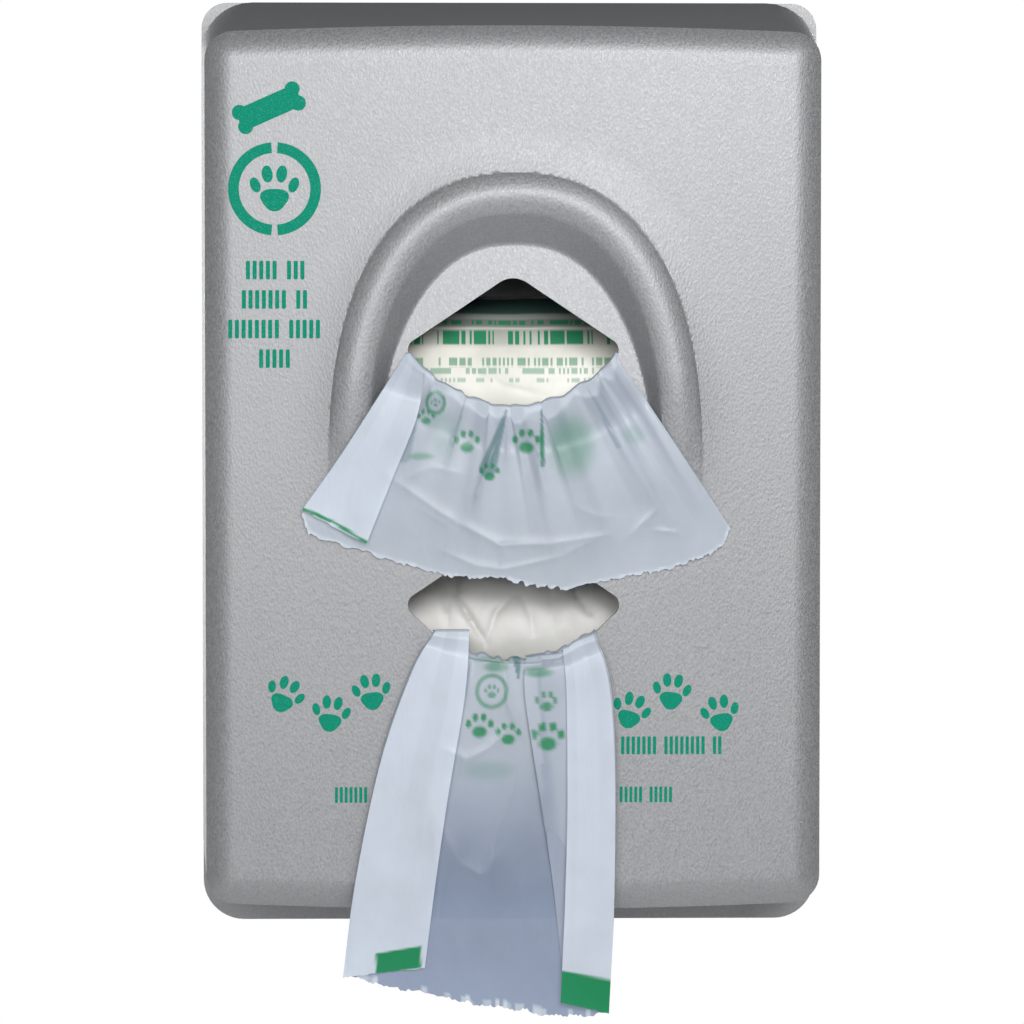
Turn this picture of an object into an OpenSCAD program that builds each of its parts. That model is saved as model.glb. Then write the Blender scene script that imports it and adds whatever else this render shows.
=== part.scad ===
// Wall-mounted dispenser for two rolls of dog waste bags.
// Frame: X runs to the right, Z up, and the front faces -Y. The wall is the plane Y = 0,
// and the origin is the centre of the four wall holes, on the back plate's rear face.
// A depth in this file is a distance out from the wall, in millimetres, so it is -Y.

/* [Back plate] */
// Width of the back plate
plate_w = 241; // [230:1:260]
// Height of the back plate
plate_h = 360; // [350:1:380]
// Overall depth of the plate, a shallow tray that is open at the rear
plate_d = 8; // [7:0.5:10]
// Thickness of the plate's face
plate_skin = 3; // [2.5:0.5:4]
// Distance between the wall holes, side to side
wall_hole_x = 170; // [160:1:180]
// Distance between the wall holes, top to bottom
wall_hole_z = 300; // [290:1:310]
// Diameter of a wall hole
wall_hole_dia = 6.5; // [5:0.5:7]

/* [Front cover] */
// Depth of the flat front face
cover_d = 105; // [103:1:115]
// Width of the front face
face_w = 225; // [215:1:230]
// Height of the front face at its sides
face_h = 317; // [310:1:320]
// How far the face's top and bottom edges bow out at the middle
face_bow = 1.8; // [0.5:0.1:2.5]
// Thickness of the moulded wall
wall = 3; // [2.5:0.1:3.2]
// Radius of the front edges
edge_r = 8; // [6:0.5:10]
// How far the arch bead stands proud of the face
bead_h = 5; // [3:0.5:6]
// Depth of the scoop inside the arch, at its top
scoop_d = 8.5; // [5:0.5:10]

/* [Rolls] */
// Outer radius of a full roll of bags
roll_r = 38; // [30:1:39]
// Width of a roll
roll_w = 98; // [90:1:102]
// Depth of the roll axes
roll_d = 50; // [49:0.5:52]
// Height of the upper roll axis
upper_roll_z = 26; // [25:1:30]
// Height of the lower roll axis
lower_roll_z = -64; // [-66:1:-62]
// Radius of a steel roll rod
rod_r = 4; // [3:0.5:5]

/* [Hinges] */
// Height of the upper hinge
upper_hinge_z = 115; // [100:1:125]
// Height of the lower hinge
lower_hinge_z = -105; // [-110:1:-95]
// Half the height of a hinge
hinge_half = 18; // [15:1:18]

/* [Lock] */
// Place of the lock along the bottom of the cover
lock_x = -80; // [-82:1:-78]
// Depth of the lock's axis
lock_d = 38; // [36:1:39]
// Reach of the cam from the lock's axis
cam_reach = 25; // [24:0.5:26]

/* [Hidden] */

$fn = 48;

// Colours
moulded_grey = [0.66, 0.67, 0.69];
plate_grey = [0.45, 0.46, 0.48];
zinc = [0.75, 0.77, 0.80];
dark_steel = [0.45, 0.47, 0.50];
brass = [0.76, 0.66, 0.38];
film_white = [0.80, 0.83, 0.88];
film_cream = [0.90, 0.89, 0.84];
card_brown = [0.72, 0.60, 0.45];
spindle_grey = [0.35, 0.36, 0.38];

// Back plate: corner radii, the raised ring that fits inside the cover, ribs and bosses
plate_r_top = 10;
plate_r_bottom = 16;
plate_rim = 3;
ring_inset = 6;
ring_w = 2.5;
ring_h = 5.5;
rib_w = 2;
wall_boss_r = 9;
screw_boss_r = 4.5;

// Cover: its rear rim is as wide as the plate, flush at the top and short of the bottom
rim_d = 9.5;
rim_top = plate_h / 2;
rim_bottom = -166;
rim_r_top = 20;
rim_r_bottom = 16;
bow_steps = 3;

// Arch bead, swept along a superellipse that is open at the bottom
arch_x = 0.8;
arch_z = 2.6;
arch_a = 61;
arch_b = 97.2;
arch_power = 2.3;
bead_half = 7.3;
bead_sunk = 1.5;
bead_fade = 45;
leg_angle = 7;
bead_steps = 56;
bead_sides = 8;
scoop_bottom = -14;
scoop_top = arch_z + arch_b - bead_half;

// Bag openings: an eye shape with a low peak at the top and a round lower lip
eye_half = 38.7;
eye_end_r = 3.5;
eye_peak_r = 9;
eye_peak = 26.4;
eye_dip = 21.2;
upper_eye_z = 42.8;
lower_eye_z = -50.5;

// Screws of every size: shank radius, head radius, head height
shank_r = 1.5;
head_r = 3;
head_h = 2;

// Brackets
bracket_x = 60;
bracket_t = 2.5;
bracket_top = 46;
bracket_bottom = -86;
spine_d = 24;
arm_half = 13;
foot_w = 17;
foot_x = 70.5;
foot_screw_z = [38, -19, -78];
slot_tilt = 25;
slot_gap = 0.1;
rod_half = 67;
clip_x = 62.2;
clip_t = 1;
groove_r = rod_r - 0.8;

// Spindles and cores
spindle_r = 12;
spindle_half = bracket_x - bracket_t / 2 - 0.75;
core_r = 14.5;
run_gap = 0.05;

// Hinges: a knuckle of radius knuckle_r on the axis hinge_x, hinge_d
hinge_x = 118.5;
hinge_d = 12;
knuckle_r = 3.2;
knuckle_half = 5.7;
knuckle_gap = 0.3;
pin_r = 1.25;
leaf_t = 1.2;
leaf_x = 93;
pad_x = 112.5;
pad_d = 40;
leaf_clear = 16;
leaf_screw_x = 99;
pad_screw_d = 29;
leaf_screw_z = 11;
hinge_zs = [upper_hinge_z, lower_hinge_z];

// Lock: heights along its vertical axis, from the flange up
lock_seat_z = -162.5;
flange_t = 2;
flange_r = 11;
barrel_r = 8.5;
barrel_top = -146;
boss_top = -158.5;
boss_r = 14;
washer_t = 1.2;
nut_t = 4.5;
nut_r = 12.7;
plug_r = 6;
cam_z = -145.5;
cam_t = 2.5;
cam_half = 6;
tenon = 7.9;
keeper_x = -56;
keeper_half = 6;
keeper_base_half = 14;
keeper_arm_z = -141.5;
keeper_t = 2;
keeper_lip_d = 45.3;
keeper_lip_z = -148.5;
keeper_top = -116;
keeper_screw_z = -124;
keeper_screw_x = 10;

// Bag tails: plain sheets in front of the cover, with a neck through each opening
tail_t = 1.5;
upper_tail_d = 111.5;
lower_tail_d = 106.5;
neck_d = 97;
neck_half = 24;
neck_t = 1.5;
eps = 0.5;

// ---- Placing helpers ----

// Extrudes a sketch of (x, z) from depth d0 out to depth d1
module extrude_out(d0, d1) {
    translate([0, -d0, 0])
        rotate([90, 0, 0])
            linear_extrude(d1 - d0)
                children();
}

// Extrudes a sketch of (depth, z) from x0 to x1
module extrude_across(x0, x1) {
    translate([x1, 0, 0])
        rotate([90, 0, -90])
            linear_extrude(x1 - x0)
                children();
}

// A block between two values of x, of depth and of z
module block(x0, x1, d0, d1, z0, z1) {
    translate([x0, -d1, z0])
        cube([x1 - x0, d1 - d0, z1 - z0]);
}

// Round bars along X, out of the wall, and up
module bar_x(x0, x1, d, z, r) {
    translate([x0, -d, z])
        rotate([0, 90, 0])
            cylinder(h = x1 - x0, r = r);
}

module bar_out(x, z, d0, d1, r) {
    translate([x, -d0, z])
        rotate([90, 0, 0])
            cylinder(h = d1 - d0, r = r);
}

module bar_up(x, d, z0, z1, r) {
    translate([x, -d, z0])
        cylinder(h = z1 - z0, r = r);
}

// A pan head screw with a cross recess, its head's underside at the origin, pointing down
module screw(length) {
    difference() {
        union() {
            cylinder(h = head_h, r = head_r);
            translate([0, 0, -length])
                cylinder(h = length + eps, r = shank_r);
        }
        for (turn = [0, 90])
            rotate([0, 0, turn])
                translate([-head_r * 0.6, -0.4, head_h - 1.1])
                    cube([head_r * 1.2, 0.8, 2]);
    }
}

// A screw driven towards the wall, with its head seated at depth d
module screw_out(x, z, d, length) {
    translate([x, -d, z])
        rotate([90, 0, 0])
            screw(length);
}

// ---- Outlines ----

// A rectangle from z0 to z1 with its own corner radii at the bottom and at the top
module rounded_plate(w, z0, z1, r_bottom, r_top, inset) {
    half = w / 2 - inset;
    low = z0 + inset;
    high = z1 - inset;
    rb = r_bottom - inset;
    rt = r_top - inset;
    translate([-half, low + rb])
        square([2 * half, high - low - rb - rt]);
    translate([-half + rb, low])
        square([2 * (half - rb), rb + eps]);
    translate([-half + rt, high - rt - eps])
        square([2 * (half - rt), rt + eps]);
    for (side = [-1, 1]) {
        translate([side * (half - rb), low + rb])
            circle(r = rb);
        translate([side * (half - rt), high - rt])
            circle(r = rt);
    }
}

module plate_outline(inset) {
    rounded_plate(plate_w, -plate_h / 2, plate_h / 2, plate_r_bottom, plate_r_top, inset);
}

module rim_outline(inset) {
    rounded_plate(plate_w, rim_bottom, rim_top, rim_r_bottom, rim_r_top, inset);
}

// A point on the arch, t degrees round from the right-hand side
function arch_point(t, a, b) =
    [arch_x + a * sign(cos(t)) * pow(abs(cos(t)), 2 / arch_power),
     arch_z + b * sign(sin(t)) * pow(abs(sin(t)), 2 / arch_power)];

module arch_outline(a, b) {
    polygon([for (i = [0:71]) arch_point(i * 5, a, b)]);
}

// The opening's outline about its widest line
module eye_outline() {
    lip_r = (eye_half * eye_half + eye_dip * eye_dip) / (2 * eye_dip);
    hull() {
        translate([0, eye_peak - eye_peak_r])
            circle(r = eye_peak_r, $fn = 32);
        for (side = [-1, 1])
            translate([side * (eye_half - eye_end_r), 0])
                circle(r = eye_end_r, $fn = 32);
        for (a = [-40:10:40])
            translate([(lip_r - eye_end_r) * sin(a),
                       lip_r - eye_dip - (lip_r - eye_end_r) * cos(a)])
                circle(r = eye_end_r, $fn = 24);
    }
}

// ---- Back plate ----

module wall_holes(d0, d1, r) {
    for (sx = [-1, 1])
        for (sz = [-1, 1])
            bar_out(sx * wall_hole_x / 2, sz * wall_hole_z / 2, d0, d1, r);
}

// Every place where a small screw enters the plate
module plate_screw_places(d0, d1, r) {
    for (side = [-1, 1])
        for (z = foot_screw_z)
            bar_out(side * foot_x, z, d0, d1, r);
    for (z = hinge_zs)
        for (side = [-1, 1])
            bar_out(leaf_screw_x, z + side * leaf_screw_z, d0, d1, r);
    for (side = [-1, 1])
        bar_out(keeper_x + side * keeper_screw_x, keeper_screw_z, d0, d1, r);
}

module locating_ring() {
    difference() {
        extrude_out(plate_d - eps, plate_d + ring_h)
            difference() {
                rim_outline(ring_inset);
                rim_outline(ring_inset + ring_w);
            }
        for (z = hinge_zs)
            block(pad_x - 8, plate_w / 2, plate_d - 1, plate_d + ring_h + 1,
                  z - hinge_half - 3, z + hinge_half + 3);
    }
}

module back_plate() {
    color(plate_grey)
        difference() {
            union() {
                difference() {
                    extrude_out(0, plate_d)
                        plate_outline(0);
                    extrude_out(-1, plate_d - plate_skin)
                        plate_outline(plate_rim);
                }
                for (x = [-40, 0, 40])
                    block(x - rib_w / 2, x + rib_w / 2, 0, plate_d - eps,
                          -plate_h / 2 + 1, plate_h / 2 - 1);
                for (z = [-100, 0, 100])
                    block(-plate_w / 2 + 1, plate_w / 2 - 1, 0, plate_d - eps,
                          z - rib_w / 2, z + rib_w / 2);
                wall_holes(0, plate_d, wall_boss_r);
                plate_screw_places(0.5, plate_d, screw_boss_r);
                locating_ring();
            }
            wall_holes(-1, plate_d + 1, wall_hole_dia / 2);
            plate_screw_places(1, plate_d + 1, shank_r);
        }
}

// ---- Front cover ----

// The cover's solid form, shrunk on every side by inset; its rear reaches back to depth d0
module cover_form(inset, d0) {
    ball = edge_r - inset;
    hull() {
        for (side = [-1, 1]) {
            bar_out(side * (plate_w / 2 - rim_r_top), rim_top - rim_r_top,
                    d0, rim_d + 1, rim_r_top - inset);
            bar_out(side * (plate_w / 2 - rim_r_bottom), rim_bottom + rim_r_bottom,
                    d0, rim_d + 1, rim_r_bottom - inset);
        }
        for (i = [-bow_steps:bow_steps])
            for (side = [-1, 1]) {
                across = i / bow_steps;
                rise = face_bow * (1 - across * across);
                translate([across * (face_w / 2 - edge_r), -(cover_d - edge_r),
                           side * (face_h / 2 + rise - edge_r)])
                    sphere(r = ball, $fn = 28);
            }
    }
}

// A point on the bead's section at t degrees round the arch, s degrees round its crest
function bead_normal(t) =
    let (p = [pow(abs(cos(t)), 2 - 2 / arch_power) * sign(cos(t)) / arch_a,
              pow(abs(sin(t)), 2 - 2 / arch_power) * sign(sin(t)) / arch_b])
    p / norm(p);
function bead_rise(z) = bead_h * min(1, max(0.08, (z + 8) / bead_fade));
function bead_point(t, s) =
    let (p = arch_point(t, arch_a, arch_b), n = bead_normal(t), off = bead_half * cos(s))
    [p[0] + n[0] * off, -(cover_d + bead_rise(p[1]) * sin(s)), p[1] + n[1] * off];
function bead_root(t, side) =
    let (p = arch_point(t, arch_a, arch_b), n = bead_normal(t))
    [p[0] + n[0] * side * bead_half, -(cover_d - bead_sunk), p[1] + n[1] * side * bead_half];

// The arch bead: rings of bead_sides + 3 points, joined in order and capped at both feet
module arch_bead() {
    ring = bead_sides + 3;
    span = 180 + 2 * leg_angle;
    points = [for (i = [0:bead_steps])
        let (t = -leg_angle + span * i / bead_steps)
        each concat([bead_root(t, 1)],
                    [for (j = [0:bead_sides]) bead_point(t, 180 * j / bead_sides)],
                    [bead_root(t, -1)])];
    sides = [for (i = [0:bead_steps - 1]) for (j = [0:ring - 1])
        let (k = (j + 1) % ring, a = i * ring, b = (i + 1) * ring)
        each [[a + j, b + k, b + j], [a + j, a + k, b + k]]];
    last = bead_steps * ring;
    caps = [[for (j = [0:ring - 1]) ring - 1 - j],
            [for (j = [0:ring - 1]) last + j]];
    polyhedron(points = points, faces = concat(sides, caps));
}

// The space in front of the scoop's sloping floor, whose surface is moved in by behind
module before_floor(behind) {
    rise = scoop_top - scoop_bottom;
    slope = atan(scoop_d / rise);
    translate([0, -(cover_d - behind), scoop_bottom])
        rotate([-slope, 0, 0])
            translate([-150, -60, -150])
                cube([300, 60, 400]);
}

module scoop_hollow() {
    intersection() {
        extrude_out(cover_d - scoop_d - 4, cover_d + eps)
            arch_outline(arch_a - bead_half, arch_b - bead_half);
        before_floor(0);
        block(-100, 100, 0, cover_d + 20, scoop_bottom, 150);
    }
}

module scoop_backing() {
    intersection() {
        extrude_out(cover_d - scoop_d - 8, cover_d - 1)
            arch_outline(arch_a - bead_half + wall, arch_b - bead_half + wall);
        before_floor(wall);
        block(-100, 100, 0, cover_d, scoop_bottom, 150);
    }
}

module front_cover() {
    color(moulded_grey)
        difference() {
            union() {
                difference() {
                    cover_form(0, rim_d);
                    cover_form(wall, rim_d - 1);
                }
                arch_bead();
                scoop_backing();
                bar_up(lock_x, lock_d, lock_seat_z - eps, boss_top, boss_r);
                for (z = hinge_zs)
                    block(pad_x, pad_x + 4.5, leaf_clear, pad_d, z - hinge_half, z + hinge_half);
            }
            scoop_hollow();
            for (z = [upper_eye_z, lower_eye_z])
                translate([0, 0, z])
                    extrude_out(cover_d - 20, cover_d + 20)
                        eye_outline();
            for (z = hinge_zs) {
                block(pad_x - 1, plate_w / 2 + 1, rim_d - 1, leaf_clear,
                      z - hinge_half - 1.5, z + hinge_half + 1.5);
                for (side = [-1, 1])
                    bar_x(pad_x - 1, pad_x + 5, pad_screw_d, z + side * leaf_screw_z, shank_r);
            }
            bar_up(lock_x, lock_d, rim_bottom - 1, lock_seat_z, flange_r + 0.5);
            bar_up(lock_x, lock_d, rim_bottom, boss_top + 1, barrel_r);
        }
}

// ---- Roll brackets, rods and clips ----

// One side bracket: spine, two arms with a slot that slopes up and out, and a screwed foot
module bracket_blank() {
    difference() {
        union() {
            extrude_across(bracket_x - bracket_t / 2, bracket_x + bracket_t / 2)
                union() {
                    translate([plate_d, bracket_bottom])
                        square([spine_d - plate_d, bracket_top - bracket_bottom]);
                    for (z = [upper_roll_z, lower_roll_z]) {
                        translate([plate_d, z - arm_half])
                            square([roll_d - plate_d, 2 * arm_half]);
                        translate([roll_d, z])
                            circle(r = arm_half);
                    }
                }
            block(bracket_x - bracket_t / 2, bracket_x + foot_w, plate_d, plate_d + bracket_t,
                  bracket_bottom, bracket_top);
        }
        for (z = [upper_roll_z, lower_roll_z]) {
            bar_x(bracket_x - 5, bracket_x + 5, roll_d, z, rod_r + slot_gap);
            translate([bracket_x - 5, -roll_d, z])
                rotate([-slot_tilt, 0, 0])
                    translate([0, -2 * arm_half, -rod_r - slot_gap])
                        cube([10, 2 * arm_half, 2 * (rod_r + slot_gap)]);
        }
        for (z = foot_screw_z)
            bar_out(foot_x, z, plate_d - 1, plate_d + bracket_t + 1, shank_r + 0.2);
    }
}

module left_bracket() {
    color(zinc)
        mirror([1, 0, 0])
            bracket_blank();
}

module right_bracket() {
    color(zinc)
        bracket_blank();
}

module bracket_screws() {
    color(dark_steel)
        for (side = [-1, 1])
            for (z = foot_screw_z)
                screw_out(side * foot_x, z, plate_d + bracket_t, 8);
}

// A roll rod with a clip groove near each end and a small end chamfer
module rod(z) {
    difference() {
        union() {
            bar_x(-rod_half, rod_half, roll_d, z, rod_r);
            for (side = [-1, 1])
                translate([side * rod_half, -roll_d, z])
                    rotate([0, side * 90, 0])
                        cylinder(h = 1, r1 = rod_r, r2 = rod_r - 1);
        }
        for (side = [-1, 1])
            translate([side * (clip_x + clip_t / 2), -roll_d, z])
                rotate([0, 90, 0])
                    difference() {
                        cylinder(h = clip_t + 0.2, r = rod_r + 1, center = true);
                        cylinder(h = clip_t + 2, r = groove_r, center = true);
                    }
    }
}

module upper_rod() {
    color(zinc)
        rod(upper_roll_z);
}

module lower_rod() {
    color(zinc)
        rod(lower_roll_z);
}

// Four open spring clips, one in each groove
module rod_clips() {
    color(dark_steel)
        for (z = [upper_roll_z, lower_roll_z])
            for (side = [-1, 1])
                translate([side * (clip_x + clip_t / 2), -roll_d, z])
                    difference() {
                        rotate([0, 90, 0])
                            cylinder(h = clip_t, r = rod_r + 2.5, center = true);
                        rotate([0, 90, 0])
                            cylinder(h = clip_t + 1, r = groove_r, center = true);
                        translate([-2, -groove_r * 0.8, -10])
                            cube([4, groove_r * 1.6, 10]);
                    }
}

// ---- What turns on each rod ----

module spindle(z) {
    difference() {
        bar_x(-spindle_half, spindle_half, roll_d, z, spindle_r);
        bar_x(-spindle_half - 1, spindle_half + 1, roll_d, z, rod_r + run_gap);
    }
}

module upper_spindle() {
    color(spindle_grey)
        spindle(upper_roll_z);
}

module lower_spindle() {
    color(spindle_grey)
        spindle(lower_roll_z);
}

module tube_x(half, z, r_in, r_out) {
    difference() {
        bar_x(-half, half, roll_d, z, r_out);
        bar_x(-half - 1, half + 1, roll_d, z, r_in);
    }
}

module upper_core() {
    color(card_brown)
        tube_x(roll_w / 2, upper_roll_z, spindle_r, core_r);
}

module lower_core() {
    color(card_brown)
        tube_x(roll_w / 2, lower_roll_z, spindle_r, core_r);
}

module upper_roll() {
    color(film_cream)
        tube_x(roll_w / 2, upper_roll_z, core_r, roll_r);
}

module lower_roll() {
    color(film_cream)
        tube_x(roll_w / 2, lower_roll_z, core_r, roll_r);
}

// ---- Bag tails ----

// A tail's sheet, and its neck that lies on the lip and reaches in through the opening
module tail(d, lip_z, top_z) {
    extrude_out(d, d + tail_t)
        children();
    block(-neck_half, neck_half, neck_d, d + eps, lip_z, lip_z + neck_t);
    block(-neck_half, neck_half, d, d + tail_t, top_z, lip_z + neck_t);
}

module upper_bag() {
    color(film_white)
        tail(upper_tail_d, upper_eye_z - eye_dip + 7, upper_eye_z - eye_dip)
            polygon([[-39, 28], [-77, -16], [-74, -26], [-31, -38], [21, -45], [50, -39],
                     [74, -30], [79, -22], [39, 28]]);
}

module lower_bag() {
    color(film_white)
        tail(lower_tail_d, lower_eye_z - eye_dip + 7, lower_eye_z - eye_dip - 4)
            polygon([[-30, -66], [-49, -107], [-58, -151], [-62, -187], [0, -199], [35, -201],
                     [37, -122], [35, -76], [30, -66]]);
}

// ---- Hinges ----

// The leaf that is screwed to the plate, with the two outer knuckles
module plate_leaf(z) {
    difference() {
        union() {
            block(leaf_x, pad_x + 2, plate_d, plate_d + leaf_t, z - hinge_half, z + hinge_half);
            for (side = [-1, 1])
                translate([0, 0, z + side * (hinge_half + knuckle_half + knuckle_gap) / 2]) {
                    half = (hinge_half - knuckle_half - knuckle_gap) / 2;
                    block(pad_x, hinge_x, plate_d, plate_d + leaf_t, -half, half);
                    bar_up(hinge_x, hinge_d, -half, half, knuckle_r);
                }
        }
        bar_up(hinge_x, hinge_d, z - hinge_half - 1, z + hinge_half + 1, pin_r);
        for (side = [-1, 1])
            bar_out(leaf_screw_x, z + side * leaf_screw_z, plate_d - 1, plate_d + leaf_t + 1,
                    shank_r + 0.2);
    }
}

// The leaf that is screwed to the pad inside the cover, with the middle knuckle
module cover_leaf(z) {
    difference() {
        union() {
            block(pad_x - leaf_t, pad_x, leaf_clear + 0.5, pad_d, z - hinge_half, z + hinge_half);
            block(pad_x - leaf_t, pad_x, hinge_d - 1.2, leaf_clear + 1,
                  z - knuckle_half, z + knuckle_half);
            block(pad_x - leaf_t, hinge_x - 1, hinge_d - 1.2, hinge_d + 1.2,
                  z - knuckle_half, z + knuckle_half);
            bar_up(hinge_x, hinge_d, z - knuckle_half, z + knuckle_half, knuckle_r);
        }
        bar_up(hinge_x, hinge_d, z - hinge_half, z + hinge_half, pin_r + run_gap);
        for (side = [-1, 1])
            bar_x(pad_x - leaf_t - 1, pad_x + 1, pad_screw_d, z + side * leaf_screw_z,
                  shank_r + 0.2);
    }
}

// A pin with a round head at the top
module hinge_pin(z) {
    bar_up(hinge_x, hinge_d, z - hinge_half, z + hinge_half, pin_r);
    bar_up(hinge_x, hinge_d, z + hinge_half, z + hinge_half + 1, pin_r + 0.9);
}

module upper_hinge_plate_leaf() {
    color(zinc)
        plate_leaf(upper_hinge_z);
}

module lower_hinge_plate_leaf() {
    color(zinc)
        plate_leaf(lower_hinge_z);
}

module upper_hinge_cover_leaf() {
    color(zinc)
        cover_leaf(upper_hinge_z);
}

module lower_hinge_cover_leaf() {
    color(zinc)
        cover_leaf(lower_hinge_z);
}

module upper_hinge_pin() {
    color(dark_steel)
        hinge_pin(upper_hinge_z);
}

module lower_hinge_pin() {
    color(dark_steel)
        hinge_pin(lower_hinge_z);
}

module hinge_plate_screws() {
    color(dark_steel)
        for (z = hinge_zs)
            for (side = [-1, 1])
                screw_out(leaf_screw_x, z + side * leaf_screw_z, plate_d + leaf_t, 7.5);
}

module hinge_cover_screws() {
    color(dark_steel)
        for (z = hinge_zs)
            for (side = [-1, 1])
                translate([pad_x - leaf_t, -pad_screw_d, z + side * leaf_screw_z])
                    rotate([0, -90, 0])
                        screw(5.5);
}

// ---- Lock ----

module lock_housing() {
    color(zinc)
        difference() {
            union() {
                bar_up(lock_x, lock_d, lock_seat_z - flange_t, lock_seat_z, flange_r);
                bar_up(lock_x, lock_d, lock_seat_z - eps, barrel_top, barrel_r);
            }
            bar_up(lock_x, lock_d, lock_seat_z - flange_t - 1, barrel_top + 1, plug_r + run_gap);
        }
}

module lock_washer() {
    color(dark_steel)
        difference() {
            bar_up(lock_x, lock_d, boss_top, boss_top + washer_t, nut_r - 0.7);
            bar_up(lock_x, lock_d, boss_top - 1, boss_top + washer_t + 1, barrel_r);
        }
}

module lock_nut() {
    color(zinc)
        difference() {
            translate([lock_x, -lock_d, boss_top + washer_t])
                cylinder(h = nut_t, r = nut_r, $fn = 6);
            bar_up(lock_x, lock_d, boss_top, boss_top + washer_t + nut_t + 1, barrel_r);
        }
}

// The plug that the key turns: keyway below, square tenon for the cam above
module lock_plug() {
    tenon_top = cam_z + cam_t - 0.2;
    color(brass)
        difference() {
            union() {
                bar_up(lock_x, lock_d, lock_seat_z - flange_t + 0.2, barrel_top + 0.3, plug_r);
                block(lock_x - tenon / 2, lock_x + tenon / 2,
                      lock_d - tenon / 2, lock_d + tenon / 2, barrel_top, tenon_top);
            }
            block(lock_x - 3.5, lock_x + 3.5, lock_d - 0.7, lock_d + 0.7,
                  lock_seat_z - flange_t - 1, lock_seat_z + 7);
            bar_up(lock_x, lock_d, cam_z - 5, tenon_top + 1, 2);
        }
}

// The cam points at the wall when it is unlocked
module lock_cam() {
    color(zinc)
        difference() {
            union() {
                bar_up(lock_x, lock_d, cam_z, cam_z + cam_t, 8);
                block(lock_x - cam_half, lock_x + cam_half, lock_d - cam_reach, lock_d,
                      cam_z, cam_z + cam_t);
            }
            block(lock_x - 4, lock_x + 4, lock_d - 4, lock_d + 4, cam_z - 1, cam_z + cam_t + 1);
        }
}

module cam_screw() {
    color(dark_steel)
        difference() {
            union() {
                bar_up(lock_x, lock_d, cam_z - 4, cam_z + cam_t + eps, 2);
                bar_up(lock_x, lock_d, cam_z + cam_t, cam_z + cam_t + 2, plug_r);
            }
            block(lock_x - 5, lock_x + 5, lock_d - 0.5, lock_d + 0.5,
                  cam_z + cam_t + 1, cam_z + cam_t + 3);
        }
}

// The keeper's arm passes over the locked cam, and its lip turns down in front of it
module lock_keeper() {
    arm_top = keeper_arm_z + keeper_t;
    color(zinc)
        difference() {
            union() {
                block(keeper_x - keeper_base_half, keeper_x + keeper_base_half,
                      plate_d, plate_d + keeper_t, keeper_arm_z, keeper_top);
                block(keeper_x - keeper_half, keeper_x + keeper_half,
                      plate_d, keeper_lip_d + keeper_t, keeper_arm_z, arm_top);
                block(keeper_x - keeper_half, keeper_x + keeper_half,
                      keeper_lip_d, keeper_lip_d + keeper_t, keeper_lip_z, arm_top);
            }
            for (side = [-1, 1])
                bar_out(keeper_x + side * keeper_screw_x, keeper_screw_z,
                        plate_d - 1, plate_d + keeper_t + 1, shank_r + 0.2);
        }
}

module keeper_screws() {
    color(dark_steel)
        for (side = [-1, 1])
            screw_out(keeper_x + side * keeper_screw_x, keeper_screw_z, plate_d + keeper_t, 8);
}

back_plate();
front_cover();
left_bracket();
right_bracket();
bracket_screws();
upper_rod();
lower_rod();
rod_clips();
upper_spindle();
lower_spindle();
upper_core();
lower_core();
upper_roll();
lower_roll();
upper_bag();
lower_bag();
upper_hinge_plate_leaf();
lower_hinge_plate_leaf();
upper_hinge_cover_leaf();
lower_hinge_cover_leaf();
upper_hinge_pin();
lower_hinge_pin();
hinge_plate_screws();
hinge_cover_screws();
lock_housing();
lock_washer();
lock_nut();
lock_plug();
lock_cam();
cam_screw();
lock_keeper();
keeper_screws();
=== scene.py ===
"""Looks of a wall-mounted dispenser of dog waste bags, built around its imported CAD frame.

Row frame: X to the right, Z up, the wall is the plane Y = 0 and the cover faces -Y.
Sizes are in millimetres and become metres by MM when a mesh is made. A depth is a distance
out from the wall, so it is -Y.
"""

import math

import bpy
import numpy as np
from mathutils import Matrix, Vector


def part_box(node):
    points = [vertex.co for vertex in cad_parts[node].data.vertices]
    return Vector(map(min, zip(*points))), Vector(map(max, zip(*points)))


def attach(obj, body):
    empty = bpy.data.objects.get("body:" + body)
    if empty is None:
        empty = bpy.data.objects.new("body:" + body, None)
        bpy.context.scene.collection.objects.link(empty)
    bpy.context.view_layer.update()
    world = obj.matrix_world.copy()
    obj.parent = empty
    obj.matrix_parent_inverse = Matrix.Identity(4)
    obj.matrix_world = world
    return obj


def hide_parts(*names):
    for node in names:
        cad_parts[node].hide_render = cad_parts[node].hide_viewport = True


MM = 0.001
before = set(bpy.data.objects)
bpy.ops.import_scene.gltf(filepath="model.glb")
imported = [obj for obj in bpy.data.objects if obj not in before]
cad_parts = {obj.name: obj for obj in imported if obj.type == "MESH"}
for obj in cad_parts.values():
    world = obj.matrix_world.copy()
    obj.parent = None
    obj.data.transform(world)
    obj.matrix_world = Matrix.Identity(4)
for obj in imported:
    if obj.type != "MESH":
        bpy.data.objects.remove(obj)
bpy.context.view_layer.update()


def box_mm(node):
    """(lowest, highest) corner of a CAD node, in millimetres."""
    low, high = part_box(node)
    return np.array(low) / MM, np.array(high) / MM


# ---- Sizes taken from the frame ----
COVER_LOW, COVER_HIGH = box_mm("front_cover")
UPPER_ROLL_LOW, UPPER_ROLL_HIGH = box_mm("upper_roll")
LOWER_ROLL_LOW, LOWER_ROLL_HIGH = box_mm("lower_roll")
LOCK_LOW, LOCK_HIGH = box_mm("lock_housing")

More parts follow.
